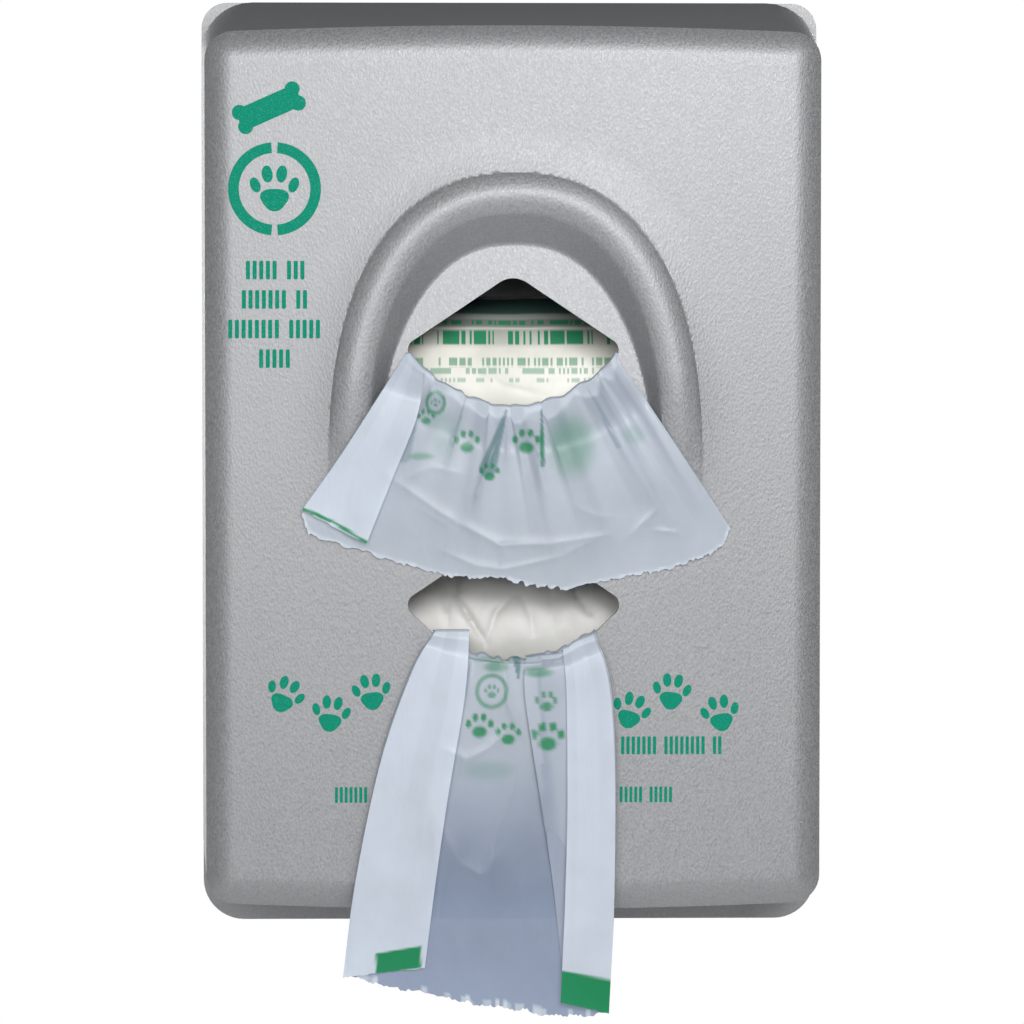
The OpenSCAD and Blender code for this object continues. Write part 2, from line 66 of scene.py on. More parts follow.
BEAD_H = 5.0
FACE_D = -COVER_LOW[1] - BEAD_H
RIM_D = -COVER_HIGH[1]
RIM_HALF = COVER_HIGH[0]
RIM_TOP = COVER_HIGH[2]
RIM_BOTTOM = COVER_LOW[2]
ROLL_D = -(UPPER_ROLL_LOW[1] + UPPER_ROLL_HIGH[1]) / 2
ROLL_R = (UPPER_ROLL_HIGH[2] - UPPER_ROLL_LOW[2]) / 2
ROLL_HALF = UPPER_ROLL_HIGH[0]
ROLL_Z = {"upper": (UPPER_ROLL_LOW[2] + UPPER_ROLL_HIGH[2]) / 2,
          "lower": (LOWER_ROLL_LOW[2] + LOWER_ROLL_HIGH[2]) / 2}

# ---- The cover's own form ----
FACE_HALF = 113.0
FACE_TOP = 158.9
FACE_LOW_EXTRA = 1.6
FACE_BOW = 2.7
FACE_CROWN = 0.7
WALL = 3.0
EDGE_DEPTH = 4.8
EDGE_R = 10.5
RIM_R_TOP = 20.0
RIM_R_BOTTOM = 16.0

ARCH_X, ARCH_Z = 0.8, 2.6
ARCH_A, ARCH_B = 61.0, 97.2
ARCH_POWER = 2.3
BEAD_HALF = 7.3
TOE_H = 3.0
FILLET_H, FILLET_WIDE = 1.6, 16.0
TOE_STEP = 0.45
SCOOP_DEPTH = 8.5
SCOOP_BOTTOM, SCOOP_TOP = -14.0, 92.5
SCOOP_SLOPE = 1.0

FINE_STEP, COARSE_STEP = 0.72, 3.4
FINE_X, FINE_Z = (-73, 75), (-24, 112)

LOCK_SEAT_Z = -162.5
LOCK_BOSS_R, LOCK_RECESS_R, LOCK_HOLE_R = 14, 11.5, 8.5
LEAF_THICK, HINGE_PAD = 1.2, 4.5
NOTCH_Y, NOTCH_GAP = -16, 1.5

EYE_HALF, EYE_PEAK, EYE_DIP = 38.7, 26.4, 21.2
EYE_END_R, EYE_PEAK_R = 4.2, 9.0
EYE_Z = {"upper": 42.8, "lower": -50.5}


# ---- Camera ----
def make_camera():
    """A long lens a little left of the middle and level with the upper opening."""
    distance = 1300
    field = 374.8
    eye = Vector((-21.8, -FACE_D - distance, 23.0))
    target = Vector((-0.55, -FACE_D, -16.5))
    data = bpy.data.cameras.new("camera")
    data.sensor_width = 36
    data.lens = 36 * distance / field
    data.clip_start = 0.01
    camera = bpy.data.objects.new("camera", data)
    camera.location = eye * MM
    camera.rotation_euler = (target - eye).to_track_quat("-Z", "Y").to_euler()
    bpy.context.scene.collection.objects.link(camera)
    bpy.context.scene.camera = camera


make_camera()


# ---- Mesh helpers ----
def round_angles(count):
    """Angles evenly spaced round a full turn."""
    return np.linspace(0, math.tau, count + 1)[:-1]


def turned(x, z, turn_deg):
    """A place in (x, z), turned round the origin."""
    turn = math.radians(turn_deg)
    return x * math.cos(turn) - z * math.sin(turn), x * math.sin(turn) + z * math.cos(turn)


def arc_points(x, z, r, degrees):
    """Places on a circle at the given angles."""
    return [(x + r * math.cos(b), z + r * math.sin(b)) for b in np.radians(degrees)]


def smoothstep(low, high, v):
    t = np.clip((np.asarray(v, float) - low) / (high - low), 0, 1)
    return t * t * (3 - 2 * t)


def smooth_max(a, b, r):
    """The larger of a and b, with their corner rounded over about r."""
    h = np.clip(0.5 + 0.5 * (a - b) / r, 0, 1)
    return b + (a - b) * h + r * h * (1 - h) / 2


def make_object(name, points, faces, material=None, smooth_deg=35):
    """A mesh object from points in millimetres, smooth except at edges sharper than smooth_deg."""
    mesh = bpy.data.meshes.new(name)
    mesh.from_pydata((np.asarray(points, float) * MM).tolist(), [], [list(map(int, f)) for f in faces])
    mesh.validate()
    mesh.update()
    obj = bpy.data.objects.new(name, mesh)
    bpy.context.scene.collection.objects.link(obj)
    if material:
        mesh.materials.append(material)
    shade(obj, smooth_deg)
    return obj


def shade(obj, smooth_deg):
    obj.data.shade_smooth()
    obj.data.set_sharp_from_angle(angle=math.radians(smooth_deg))


def apply_modifiers(obj):
    """Replaces the object's mesh by the one its modifiers make."""
    depsgraph = bpy.context.evaluated_depsgraph_get()
    mesh = bpy.data.meshes.new_from_object(obj.evaluated_get(depsgraph))
    obj.modifiers.clear()
    obj.data = mesh


def boolean(obj, tool, operation):
    """Cuts obj by tool, or joins tool to it, and removes tool."""
    modifier = obj.modifiers.new("boolean", "BOOLEAN")
    modifier.operation = operation
    modifier.solver = "EXACT"
    modifier.object = tool
    apply_modifiers(obj)
    bpy.data.objects.remove(tool)


def prism(outline, low, high):
    """(points, faces) of a closed solid between two heights along the third axis."""
    n = len(outline)
    points = [(x, y, low) for x, y in outline] + [(x, y, high) for x, y in outline]
    faces = [(i, (i + 1) % n, n + (i + 1) % n, n + i) for i in range(n)]
    return points, faces + [tuple(range(n))[::-1], tuple(range(n, 2 * n))]


def between_rings(a, b):
    """Quads between two closed rings of point indices."""
    return list(zip(a, b, np.roll(b, -1), np.roll(a, -1)))


# ---- Cover ----
def arch_distance(x, z):
    """Distance outwards from the arch's middle line; its legs run straight down."""
    u = np.maximum(np.abs(x - ARCH_X), 1e-3) / ARCH_A
    v = np.maximum(z - ARCH_Z, 1e-3) / ARCH_B
    p = ARCH_POWER
    f = (u ** p + v ** p) ** (1 / p)
    slope = f ** (1 - p) * np.hypot(u ** (p - 1) / ARCH_A, v ** (p - 1) / ARCH_B)
    return (f - 1) / slope


def face_height(x, z):
    """How far the plain face bulges in front of its nominal depth."""
    across = 1 - np.clip(np.abs(x) / (FACE_HALF - EDGE_R), 0, 1) ** 2
    up = 1 - np.clip(np.abs(z) / (FACE_TOP - EDGE_R), 0, 1) ** 2
    return FACE_CROWN * across * up


def scoop_height(x, z, grow=0.0):
    """The scoop's surface: a floor that sinks towards the top, and the wall up to the bead."""
    e = arch_distance(x, z) - grow
    fade = smoothstep(SCOOP_BOTTOM - 6, 36, z)
    floor = -SCOOP_DEPTH * np.clip((z - SCOOP_BOTTOM) / (SCOOP_TOP - SCOOP_BOTTOM), 0, 1.2)
    slope = SCOOP_SLOPE * (1.4 - 0.4 * smoothstep(20, 85, z))
    wall_line = TOE_H * fade + slope * (e + BEAD_HALF)
    return smooth_max(floor, wall_line, 1.2)


def cover_height(x, z):
    """The cover's front surface in front of its nominal face depth: face, bead and scoop."""
    e = arch_distance(x, z)
    plain = face_height(x, z)
    fade = smoothstep(SCOOP_BOTTOM - 6, 36, z)
    t = np.clip(np.abs(e) / BEAD_HALF, 0, 1)
    fillet = FILLET_H * fade * (1 - np.clip((e - BEAD_HALF) / FILLET_WIDE, 0, 1)) ** 2
    foot = FILLET_H + TOE_STEP
    outer = fade * (foot + (BEAD_H - foot) * (1 - t ** 1.7))
    inner = fade * (TOE_H + (BEAD_H - TOE_H) * (1 - t ** 2))
    inside = np.where(e < -BEAD_HALF, scoop_height(x, z) + plain, inner + plain)
    below = smoothstep(SCOOP_BOTTOM - 2, SCOOP_BOTTOM + 14, z)
    inside = plain + (inside - plain) * below
    return np.where(e > BEAD_HALF - 0.01, plain + fillet, np.where(e > 0, plain + outer, inside))


def cover_inner_height(x, z):
    """The cover's inner surface: it follows the scoop, but not the bead."""
    plain = face_height(x, z)
    below = smoothstep(SCOOP_BOTTOM - 2, SCOOP_BOTTOM + 14, z)
    scoop = np.minimum(scoop_height(x, z, WALL), 0) * below
    return plain + np.where(arch_distance(x, z) - WALL < -BEAD_HALF, scoop, 0)


def graded(half, fine):
    """Grid lines from -half to half, with fine steps in the fine stretch and coarse ones outside it."""
    low, high = fine
    parts = [np.linspace(-half, low, max(2, round((low + half) / COARSE_STEP) + 1)),
             np.linspace(low, high, round((high - low) / FINE_STEP) + 1),
             np.linspace(high, half, max(2, round((half - high) / COARSE_STEP) + 1))]
    return np.unique(np.round(np.concatenate(parts), 6))


def snapped(x, z):
    """Moves the grid's corners that are near one of the bead's toes onto it, so the crease runs true."""
    for toe in (BEAD_HALF, -BEAD_HALF):
        e = arch_distance(x, z) - toe
        step = 0.01
        slope_x = (arch_distance(x + step, z) - arch_distance(x - step, z)) / (2 * step)
        slope_z = (arch_distance(x, z + step) - arch_distance(x, z - step)) / (2 * step)
        near = (np.abs(e) < 0.52 * FINE_STEP) & (z > SCOOP_BOTTOM - 4) & (z < SCOOP_TOP + 22)
        steep = np.maximum(slope_x ** 2 + slope_z ** 2, 0.2)
        x = np.where(near, x - e * slope_x / steep, x)
        z = np.where(near, z - e * slope_z / steep, z)
    return x, z


def perimeter(nx, nz):
    """Indices (i, j, side direction) round the grid's edge, anticlockwise from the front;
    a corner comes once for each of its arc's directions."""
    arc = 8
    last_x, last_z = nx - 1, nz - 1
    sides = [([(i, 0) for i in range(1, last_x)], (last_x, 0)),
             ([(last_x, j) for j in range(1, last_z)], (last_x, last_z)),
             ([(i, last_z) for i in range(last_x - 1, 0, -1)], (0, last_z)),
             ([(0, j) for j in range(last_z - 1, 0, -1)], (0, 0))]
    loop = []
    for start, (run, (i, j)) in zip((-90, 0, 90, 180), sides):
        loop += [(*place, start) for place in run]
        loop += [(i, j, start + 90 * k / arc) for k in range(arc + 1)]
    return loop


def shell_surface(inset, height):
    """Points and quads of the cover's outer or inner surface, and its last ring at the rim."""
    half = FACE_HALF - EDGE_R
    top = FACE_TOP - EDGE_R
    xs = graded(half, FINE_X)
    zs = graded(top, FINE_Z)
    nx, nz = len(xs), len(zs)
    gx, gz = np.meshgrid(xs, zs, indexing="ij")
    gx, gz = snapped(gx, gz)
    bow = FACE_BOW * (1 - (gx / FACE_HALF) ** 2) + FACE_LOW_EXTRA * (gz < 0)
    z = gz * (1 + bow / top)
    depth = FACE_D - inset + height(gx, z)
    points = np.stack([gx, -depth, z], -1).reshape(-1, 3)
    quads = [(i * nz + j, (i + 1) * nz + j, (i + 1) * nz + j + 1, i * nz + j + 1)
             for i in range(nx - 1) for j in range(nz - 1)]

    loop = perimeter(nx, nz)
    at = np.array([i * nz + j for i, j, _ in loop])
    base = points[at]
    turn = np.radians([a for _, _, a in loop])
    out = np.stack([np.cos(turn), np.sin(turn)], -1)
    upper = base[:, 2] > 0
    share_x = base[:, 0] / half
    share_z = base[:, 2] / np.abs(base[:, 2]).max()
    shoulder = FACE_D - EDGE_DEPTH
    rim_r = np.where(upper, RIM_R_TOP, RIM_R_BOTTOM)
    reach = np.where(upper, RIM_TOP - RIM_R_TOP, -RIM_BOTTOM - RIM_R_BOTTOM)
    level = np.where(upper, reach, -reach)
    edge = np.abs(out[:, 1]) > 1e-6
    side_edge = np.abs(out[:, 0]) > 0.999
    blend = smoothstep(-60, 60, base[:, 2])
    rings = []
    for s in np.linspace(0, 1, 11)[1:]:
        r = (EDGE_R - inset) * s
        d = shoulder + (EDGE_DEPTH - inset + height(base[:, 0], base[:, 2])) * (1 - s ** 1.8)
        rings.append(np.stack([base[:, 0] + out[:, 0] * r, -d, base[:, 2] + out[:, 1] * r], -1))
    for t in np.linspace(0, 1, 12)[1:]:
        d = shoulder + (RIM_D - shoulder) * t
        r = EDGE_R + (rim_r - EDGE_R) * t
        core_x = (half + (RIM_HALF - rim_r - half) * t) * share_x
        straight = base[:, 2] * (1 - t) + share_z * reach * t
        core_z = np.where(edge, base[:, 2] * (1 - t) + level * t, straight)
        side_r = EDGE_R + (RIM_R_BOTTOM + (RIM_R_TOP - RIM_R_BOTTOM) * blend - EDGE_R) * t
        side_x = np.sign(share_x) * (FACE_HALF + (RIM_HALF - FACE_HALF) * t - side_r)
        core_x = np.where(side_edge, side_x, core_x)
        r = np.where(side_edge, side_r, r)
        x = core_x + out[:, 0] * (r - inset)
        zz = core_z + out[:, 1] * (r - inset)
        rings.append(np.stack([x, np.full_like(x, -d), zz], -1))
    previous = at
    for k in range(len(rings)):
        current = nx * nz + k * len(loop) + np.arange(len(loop))
        quads += [tuple(dict.fromkeys(q)) for q in between_rings(previous, current)]
        previous = current
    return np.concatenate([points] + rings), quads, previous


def eye_outline(kind):
    """The opening's outline in (x, z), anticlockwise: the hull of its end, peak and lip circles."""
    lip_r = (EYE_HALF ** 2 + EYE_DIP ** 2) / (2 * EYE_DIP)
    circles = [(0, EYE_PEAK - EYE_PEAK_R, EYE_PEAK_R)]
    circles += [(s * (EYE_HALF - EYE_END_R), 0, EYE_END_R) for s in (-1, 1)]
    for a in np.radians(np.arange(-45, 46, 3)):
        reach = lip_r - EYE_END_R
        circles.append((reach * math.sin(a), lip_r - EYE_DIP - reach * math.cos(a), EYE_END_R))
    outline = []
    for a in np.radians(np.arange(0, 360, 3)):
        way = np.array([math.cos(a), math.sin(a)])
        best = max(circles, key=lambda c: c[0] * way[0] + c[1] * way[1] + c[2])
        outline.append((best[0] + way[0] * best[2], best[1] + way[1] * best[2] + EYE_Z[kind]))
    kept = [outline[0]]
    for p in outline[1:]:
        if math.dist(p, kept[-1]) > 0.05:
            kept.append(p)
    return kept


def make_cover(material):
    """The moulded cover: one closed shell with its openings, hinge notches and lock recess."""
    outer, outer_quads, outer_rim = shell_surface(0, cover_height)
    inner, inner_quads, inner_rim = shell_surface(WALL, cover_inner_height)
    shift = len(outer)
    faces = outer_quads + [tuple(i + shift for i in q[::-1]) for q in inner_quads]
    faces += between_rings(outer_rim, inner_rim + shift)
    cover = make_object("front_cover_moulding", np.concatenate([outer, inner]), faces)

    lock_x = (LOCK_LOW[0] + LOCK_HIGH[0]) / 2
    lock_y = (LOCK_LOW[1] + LOCK_HIGH[1]) / 2
    added = [round_bar(lock_x, lock_y, LOCK_SEAT_Z - 0.5, box_mm("lock_washer")[0][2], LOCK_BOSS_R, 64)]
    removed = [round_bar(lock_x, lock_y, LOCK_SEAT_Z - 8, LOCK_SEAT_Z, LOCK_RECESS_R, 96),
               round_bar(lock_x, lock_y, LOCK_SEAT_Z - 2, LOCK_SEAT_Z + 8, LOCK_HOLE_R, 96)]
    for end in ("upper", "lower"):
        low, high = box_mm(f"{end}_hinge_cover_leaf")
        leaf_x = low[0] + LEAF_THICK
        added.append(brick((leaf_x, low[1], low[2]), (leaf_x + HINGE_PAD, NOTCH_Y, high[2])))
        removed.append(brick((leaf_x - 1, NOTCH_Y, low[2] - NOTCH_GAP),
                             (RIM_HALF + 1, -RIM_D + 1, high[2] + NOTCH_GAP)))
    boolean(cover, joined("added", added), "UNION")
    for kind in EYE_Z:
        points, faces = prism(eye_outline(kind), -FACE_D - 20, -FACE_D + 20)
        removed.append(([(x, y, z) for x, z, y in points], [f[::-1] for f in faces]))
    boolean(cover, joined("removed", removed), "DIFFERENCE")
    cover.data.materials.clear()
    cover.data.materials.append(material)
    shade(cover, 32)
    return cover


def round_bar(x, y, low, high, r, sides):
    """(points, faces) of an upright round bar."""
    ring = [(x + r * math.cos(a), y + r * math.sin(a)) for a in round_angles(sides)]
    return prism(ring, low, high)


def brick(low, high):
    """(points, faces) of a block between two corners."""
    ring = [(low[0], low[1]), (high[0], low[1]), (high[0], high[1]), (low[0], high[1])]
    return prism(ring, low[2], high[2])


def joined(name, solids):
    """One object of several (points, faces) solids."""
    points, faces = [], []
    for solid_points, solid_faces in solids:
        faces += [tuple(i + len(points) for i in f) for f in solid_faces]
        points += [tuple(p) for p in solid_points]
    return make_object(name, points, faces)


# ---- Materials ----
def nodes_of(name):
    """A new material with its tree and its Principled shader."""
    material = bpy.data.materials.new(name)
    material.use_nodes = True
    tree = material.node_tree
    return material, tree, tree.nodes["Principled BSDF"]


def feed(tree, node, inputs):
    """Fills a node's inputs, given by name as values or as sockets to link."""
    for key, value in dict(inputs).items():
        if isinstance(value, bpy.types.NodeSocket):
            tree.links.new(value, node.inputs[key])
        else:
            node.inputs[key].default_value = value


def add(tree, kind, inputs=(), **settings):
    """A new shader node with its settings and its inputs."""
    node = tree.nodes.new("ShaderNode" + kind)
    for key, value in settings.items():
        setattr(node, key, value)
    feed(tree, node, inputs)
    return node


def coordinates(tree, scale=(1, 1, 1), turn=(0, 0, 0)):
    """The piece's own coordinates in metres, scaled and turned."""
    own = add(tree, "TexCoord").outputs["Object"]
    return add(tree, "Mapping", {"Vector": own, "Scale": scale, "Rotation": turn}).outputs["Vector"]


def noise(tree, place, scale, detail, **more):
    """Soft noise at the given coordinates."""
    return add(tree, "TexNoise", {"Vector": place, "Scale": scale, "Detail": detail, **more}).outputs["Fac"]


def random_red(tree, place, scale):
    """One random value for each cell of a Voronoi texture."""
    cells = add(tree, "TexVoronoi", {"Vector": place, "Scale": scale}).outputs["Color"]
    return add(tree, "SeparateColor", {"Color": cells}).outputs["Red"]


def mesh_value(tree, name):
    """A value that the mesh carries at each of its points."""
    return add(tree, "Attribute", attribute_name=name).outputs["Fac"]


def halfway(tree, a, b):
    """The mean of two values."""
    return add(tree, "Mix", {"Factor": 0.5, "A": a, "B": b}).outputs["Result"]


def painted(tree, share, ground, colour):
    """A ground colour with another over it, as thickly as share says."""
    node = add(tree, "Mix", {"Factor": share, "A": ground, "B": (*colour, 1)}, data_type="RGBA")
    return [output for output in node.outputs if output.type == "RGBA"][0]


def spread(tree, value, low, high, **more):
    """The value, drawn out to run from low to high."""
    return add(tree, "MapRange", {"Value": value, "To Min": low, "To Max": high, **more}).outputs["Result"]


def calculate(tree, operation, a, b):
    """Two values put together by a Math node."""
    return add(tree, "Math", {0: a, 1: b}, operation=operation).outputs[0]


def ramp(tree, value, stops):
    """A colour ramp with stops of (place, colour or grey)."""
    node = add(tree, "ValToRGB", {"Fac": value})
    elements = node.color_ramp.elements
    while len(elements) < len(stops):
        elements.new(0.5)
    for element, (place, colour) in zip(elements, stops):
        element.position = place
        colour = (colour,) * 3 if isinstance(colour, (int, float)) else colour
        element.color = (*colour, 1)
    return node.outputs["Color"]


def bump(tree, height, distance, strength=1.0, under=None):
    """A bump node, in metres, on top of another's normal."""
    inputs = {"Height": height, "Distance": distance, "Strength": strength}
    if under is not None:
        inputs["Normal"] = under
    return add(tree, "Bump", inputs).outputs["Normal"]


def grained_plastic(name, dark, light, grain_mm, grain_depth, roughness, metallic):
    """Moulded plastic with metal flake and a leather grain: small irregular cells, drawn out on a slant."""
    material, tree, shader = nodes_of(name)
    per_grain = 1 / (grain_mm * MM)
    place = coordinates(tree, (1, 1, 0.6), (0, math.radians(32), 0))
    cells = add(tree, "TexVoronoi", {"Vector": place, "Scale": per_grain, "Smoothness": 0.35,
                                     "Randomness": 1.0}, feature="SMOOTH_F1").outputs["Distance"]
    fine = noise(tree, place, 1.3 * per_grain, 5.0, Roughness=0.7)
    cloud = noise(tree, place, 14.0, 3.0)
    flake = random_red(tree, place, 2.2 * per_grain)
    deep = noise(tree, coordinates(tree, (1, 0.13, 1)), 0.7 * per_grain, 3.0)
    tone = halfway(tree, flake, halfway(tree, cloud, deep))
    normal = bump(tree, cells, grain_depth * MM, 0.9)
    normal = bump(tree, fine, grain_depth * 0.8 * MM, 0.9, normal)
    feed(tree, shader, {"Base Color": ramp(tree, tone, [(0.2, dark), (0.8, light)]), "Normal": normal,
                        "Roughness": spread(tree, flake, roughness - 0.1, roughness + 0.08),
                        "Metallic": metallic})
    return material


def ink(name, colour):
    """Screen print: flat, with small starved patches."""
    material, tree, shader = nodes_of(name)
    grit = noise(tree, coordinates(tree), 2600.0, 3.0)
    pale = tuple(c * 1.25 + 0.03 for c in colour)
    feed(tree, shader, {"Base Color": ramp(tree, grit, [(0.34, pale), (0.44, colour)]), "Roughness": 0.7,
                        "Normal": bump(tree, grit, 0.00002, 0.5), "Specular IOR Level": 0.1})
    return material


def plated(name, colour, roughness, brush_scale=(900, 900, 60)):
    """Zinc-plated or ground steel, with faint rolling marks and spangle."""
    material, tree, shader = nodes_of(name)
    brushed = noise(tree, coordinates(tree, brush_scale), 1.0, 4.0)
    mixed = halfway(tree, brushed, random_red(tree, coordinates(tree), 260.0))
    dull = tuple(c * 0.82 for c in colour)
    feed(tree, shader, {"Base Color": ramp(tree, mixed, [(0.3, dull), (0.7, colour)]), "Metallic": 1.0,
                        "Roughness": spread(tree, mixed, roughness - 0.08, roughness + 0.1),
                        "Normal": bump(tree, brushed, 0.00002, 0.6)})
    return material


def film(name, shaded, thin, thick, print_colour, clear):
    """Thin film, printed where the mesh's "print" value says; that value also carries the green laid into the
    veils.
    Its "tone" picks a colour with painted shade: 0 is a single ply in painted shade, 0.6 a plain single ply,
    and 1 where several plies lie together."""
    material, tree, shader = nodes_of(name)
    # Painted shade: low tones take the shaded colour in place of the plain ply's.
    tinted = ramp(tree, mesh_value(tree, "tone"), [(0.0, shaded), (0.6, thin), (1.0, thick)])
    cloud = noise(tree, coordinates(tree), 46.0, 5.0)
    shade_of = spread(tree, cloud, 0.93, 1.05, **{"From Min": 0.3, "From Max": 0.7})
    toned = add(tree, "VectorMath", {0: tinted, "Scale": shade_of}, operation="SCALE").outputs[0]
    colour = painted(tree, mesh_value(tree, "print"), toned, print_colour)
    wrinkle = noise(tree, coordinates(tree, (1, 1, 0.35)), 130.0, 4.0, Distortion=0.8)
    drawn = noise(tree, coordinates(tree, (9, 9, 0.6)), 60.0, 2.0)
    normal = bump(tree, drawn, 0.00012, 0.25, bump(tree, wrinkle, 0.0009, 0.35))
    feed(tree, shader, {"Base Color": colour, "Normal": normal, "Roughness": 0.36})
    through = add(tree, "BsdfTranslucent", {"Color": colour, "Normal": normal}).outputs[0]
    body = add(tree, "MixShader", {0: 0.28, 1: shader.outputs[0], 2: through}).outputs[0]
    glass = add(tree, "BsdfTransparent").outputs[0]
    both = add(tree, "MixShader", {0: clear, 1: body, 2: glass}).outputs[0]
    feed(tree, tree.nodes["Material Output"], {"Surface": both})
    return material


def roll_film(name, colour, shadow, print_colour, wash_colour=(0.004, 0.06, 0.05)):
    """Wound film: creases along its length, rows of small printed marks where the mesh says, and a dark teal
    wash where the mesh says, which is part print and part painted shade.
    """
    material, tree, shader = nodes_of(name)
    uv = add(tree, "TexCoord").outputs["UV"]
    along = add(tree, "SeparateXYZ", {"Vector": uv}).outputs["X"]
    row = add(tree, "CombineXYZ", {"X": along, "Y": mesh_value(tree, "row")}).outputs["Vector"]
    stroke = calculate(tree, "MULTIPLY", printed_cells(tree, row, 1300, 0.36),
                       printed_cells(tree, row, 190, 0.14))
    marked = calculate(tree, "MULTIPLY", stroke, mesh_value(tree, "print"))
    ground = ramp(tree, noise(tree, coordinates(tree), 60.0, 4.0), [(0.3, shadow), (0.6, colour)])
    # The wash is part print and part painted shade: it darkens the roll's upper side, which the cover keeps
    # from the light.
    washed = painted(tree, mesh_value(tree, "wash"), ground, wash_colour)
    lengthwise = noise(tree, coordinates(tree, (260, 14, 14)), 1.0, 4.0)
    feed(tree, shader, {"Base Color": painted(tree, marked, washed, print_colour), "Roughness": 0.38,
                        "Normal": bump(tree, lengthwise, 0.0003, 0.4), "Subsurface Weight": 0.15,
                        "Subsurface Radius": (0.004, 0.004, 0.003)})
    return material


def printed_cells(tree, row, per_metre, bare_share):
    """1 in a row's printed cells and 0 in its bare ones, which are picked at random."""
    place = add(tree, "Mapping", {"Vector": row, "Scale": (per_metre, 12, 1)}).outputs[0]
    cell = add(tree, "VectorMath", {0: place}, operation="FLOOR").outputs[0]
    value = add(tree, "TexWhiteNoise", {"Vector": cell}, noise_dimensions="2D").outputs["Value"]
    return calculate(tree, "GREATER_THAN", value, bare_share)


def spiral_card(name):
    """Card wound in a spiral: a seam along a helix, and fibres."""
    material, tree, shader = nodes_of(name)
    fibre = noise(tree, coordinates(tree, (1, 4, 4)), 420.0, 5.0)
    band = add(tree, "TexWave", {"Vector": coordinates(tree, (1, 0.5, 0.5)), "Scale": 12.0,
                                 "Distortion": 0.4}).outputs["Fac"]
    seam = ramp(tree, band, [(0.02, 0.0), (0.07, 1.0)])
    colour = ramp(tree, fibre, [(0.3, (0.36, 0.29, 0.20)), (0.7, (0.52, 0.43, 0.31))])
    feed(tree, shader, {"Base Color": colour,
                        "Normal": bump(tree, fibre, 0.0001, 0.7, bump(tree, seam, 0.0003, 0.8)),
                        "Roughness": 0.85})
    return material


def smooth_plastic(name, dark, light, roughness):
    """Turned or moulded plastic without a grain: faint flow marks and scuffs."""
    material, tree, shader = nodes_of(name)
    flow = noise(tree, coordinates(tree, (1, 1, 3)), 90.0, 6.0)
    scuff = noise(tree, coordinates(tree, (12, 1, 12)), 160.0, 2.0)
    feed(tree, shader, {"Base Color": ramp(tree, flow, [(0.3, dark), (0.7, light)]),
                        "Roughness": spread(tree, scuff, roughness - 0.1, roughness + 0.1),
                        "Normal": bump(tree, scuff, 0.00004, 0.5)})
    return material


cover_plastic = grained_plastic("silver_grey_plastic", (0.225, 0.228, 0.236), (0.305, 0.308, 0.317),
                                grain_mm=0.85, grain_depth=0.085, roughness=0.50, metallic=0.45)
plate_plastic = grained_plastic("plate_plastic", (0.25, 0.253, 0.26), (0.32, 0.323, 0.33),
                                grain_mm=0.8, grain_depth=0.06, roughness=0.50, metallic=0.35)
teal_ink = ink("teal_print", (0.0005, 0.20, 0.125))
bag_film = film("bag_film", shaded=(0.21, 0.26, 0.37), thin=(0.48, 0.53, 0.60), thick=(0.62, 0.68, 0.76),
                print_colour=(0.0, 0.25, 0.09), clear=0.03)
upper_roll_film = roll_film("upper_roll_film", (0.70, 0.69, 0.63), (0.58, 0.58, 0.52), (0.005, 0.21, 0.09))
lower_roll_film = roll_film("lower_roll_film", (0.55, 0.54, 0.52), (0.46, 0.455, 0.43), (0.05, 0.42, 0.17))
zinc = plated("zinc_plate", (0.66, 0.67, 0.68), 0.34)
steel = plated("ground_steel", (0.62, 0.62, 0.63), 0.26, (40, 900, 900))
brass = plated("brass", (0.78, 0.62, 0.32), 0.26)
card = spiral_card("core_card")
spindle_plastic = smooth_plastic("spindle_plastic", (0.08, 0.08, 0.085), (0.12, 0.12, 0.125), 0.45)

NODES_BY_MATERIAL = [
    (plate_plastic, ["back_plate"]),
    (zinc, ["left_bracket", "right_bracket", "bracket_screws", "hinge_plate_screws", "hinge_cover_screws",
            "upper_hinge_plate_leaf", "upper_hinge_cover_leaf", "lower_hinge_plate_leaf",
            "lower_hinge_cover_leaf", "lock_housing", "lock_washer", "lock_nut", "lock_cam", "lock_keeper",
            "keeper_screws"]),
    (steel, ["upper_rod", "lower_rod", "rod_clips", "upper_hinge_pin", "lower_hinge_pin", "cam_screw"]),
    (spindle_plastic, ["upper_spindle", "lower_spindle"]),
    (card, ["upper_core", "lower_core"]),
    (brass, ["lock_plug"]),
]
for node_material, node_names in NODES_BY_MATERIAL:
    for node_name in node_names:
        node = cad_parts[node_name]
        node.data.materials.clear()
        node.data.materials.append(node_material)
        shade(node, 30)

cover = make_cover(cover_plastic)
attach(cover, "cover")
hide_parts("front_cover")


# ---- Print on the cover ----
def oval(x, z, rx, rz, turn_deg=0, n=28):
    """An ellipse's outline in (x, z), anticlockwise from the front."""
    a = round_angles(n)
    px, pz = turned(rx * np.cos(a), rz * np.sin(a), turn_deg)
    return list(zip(x + px, z + pz))


TOES = [(-0.37, 0.10, 0.095, 0.15, 22), (-0.14, 0.31, 0.105, 0.165, 8), (0.14, 0.31, 0.105, 0.165, -8),
        (0.37, 0.10, 0.095, 0.15, -22)]


def paw(x, z, size, turn_deg=0):
    """A paw print's outlines: a pad with three lobes, and four toes."""
    a = round_angles(48)
    lobes = 1 + 0.10 * np.cos(3 * (a + math.pi / 2))
    shapes = [zip(0.27 * lobes * np.cos(a), -0.17 + 0.215 * lobes * np.sin(a))]
    shapes += [oval(*toe) for toe in TOES]
    return [[(x + size * px, z + size * pz) for px, pz in (turned(*place, turn_deg) for place in shape)]
            for shape in shapes]


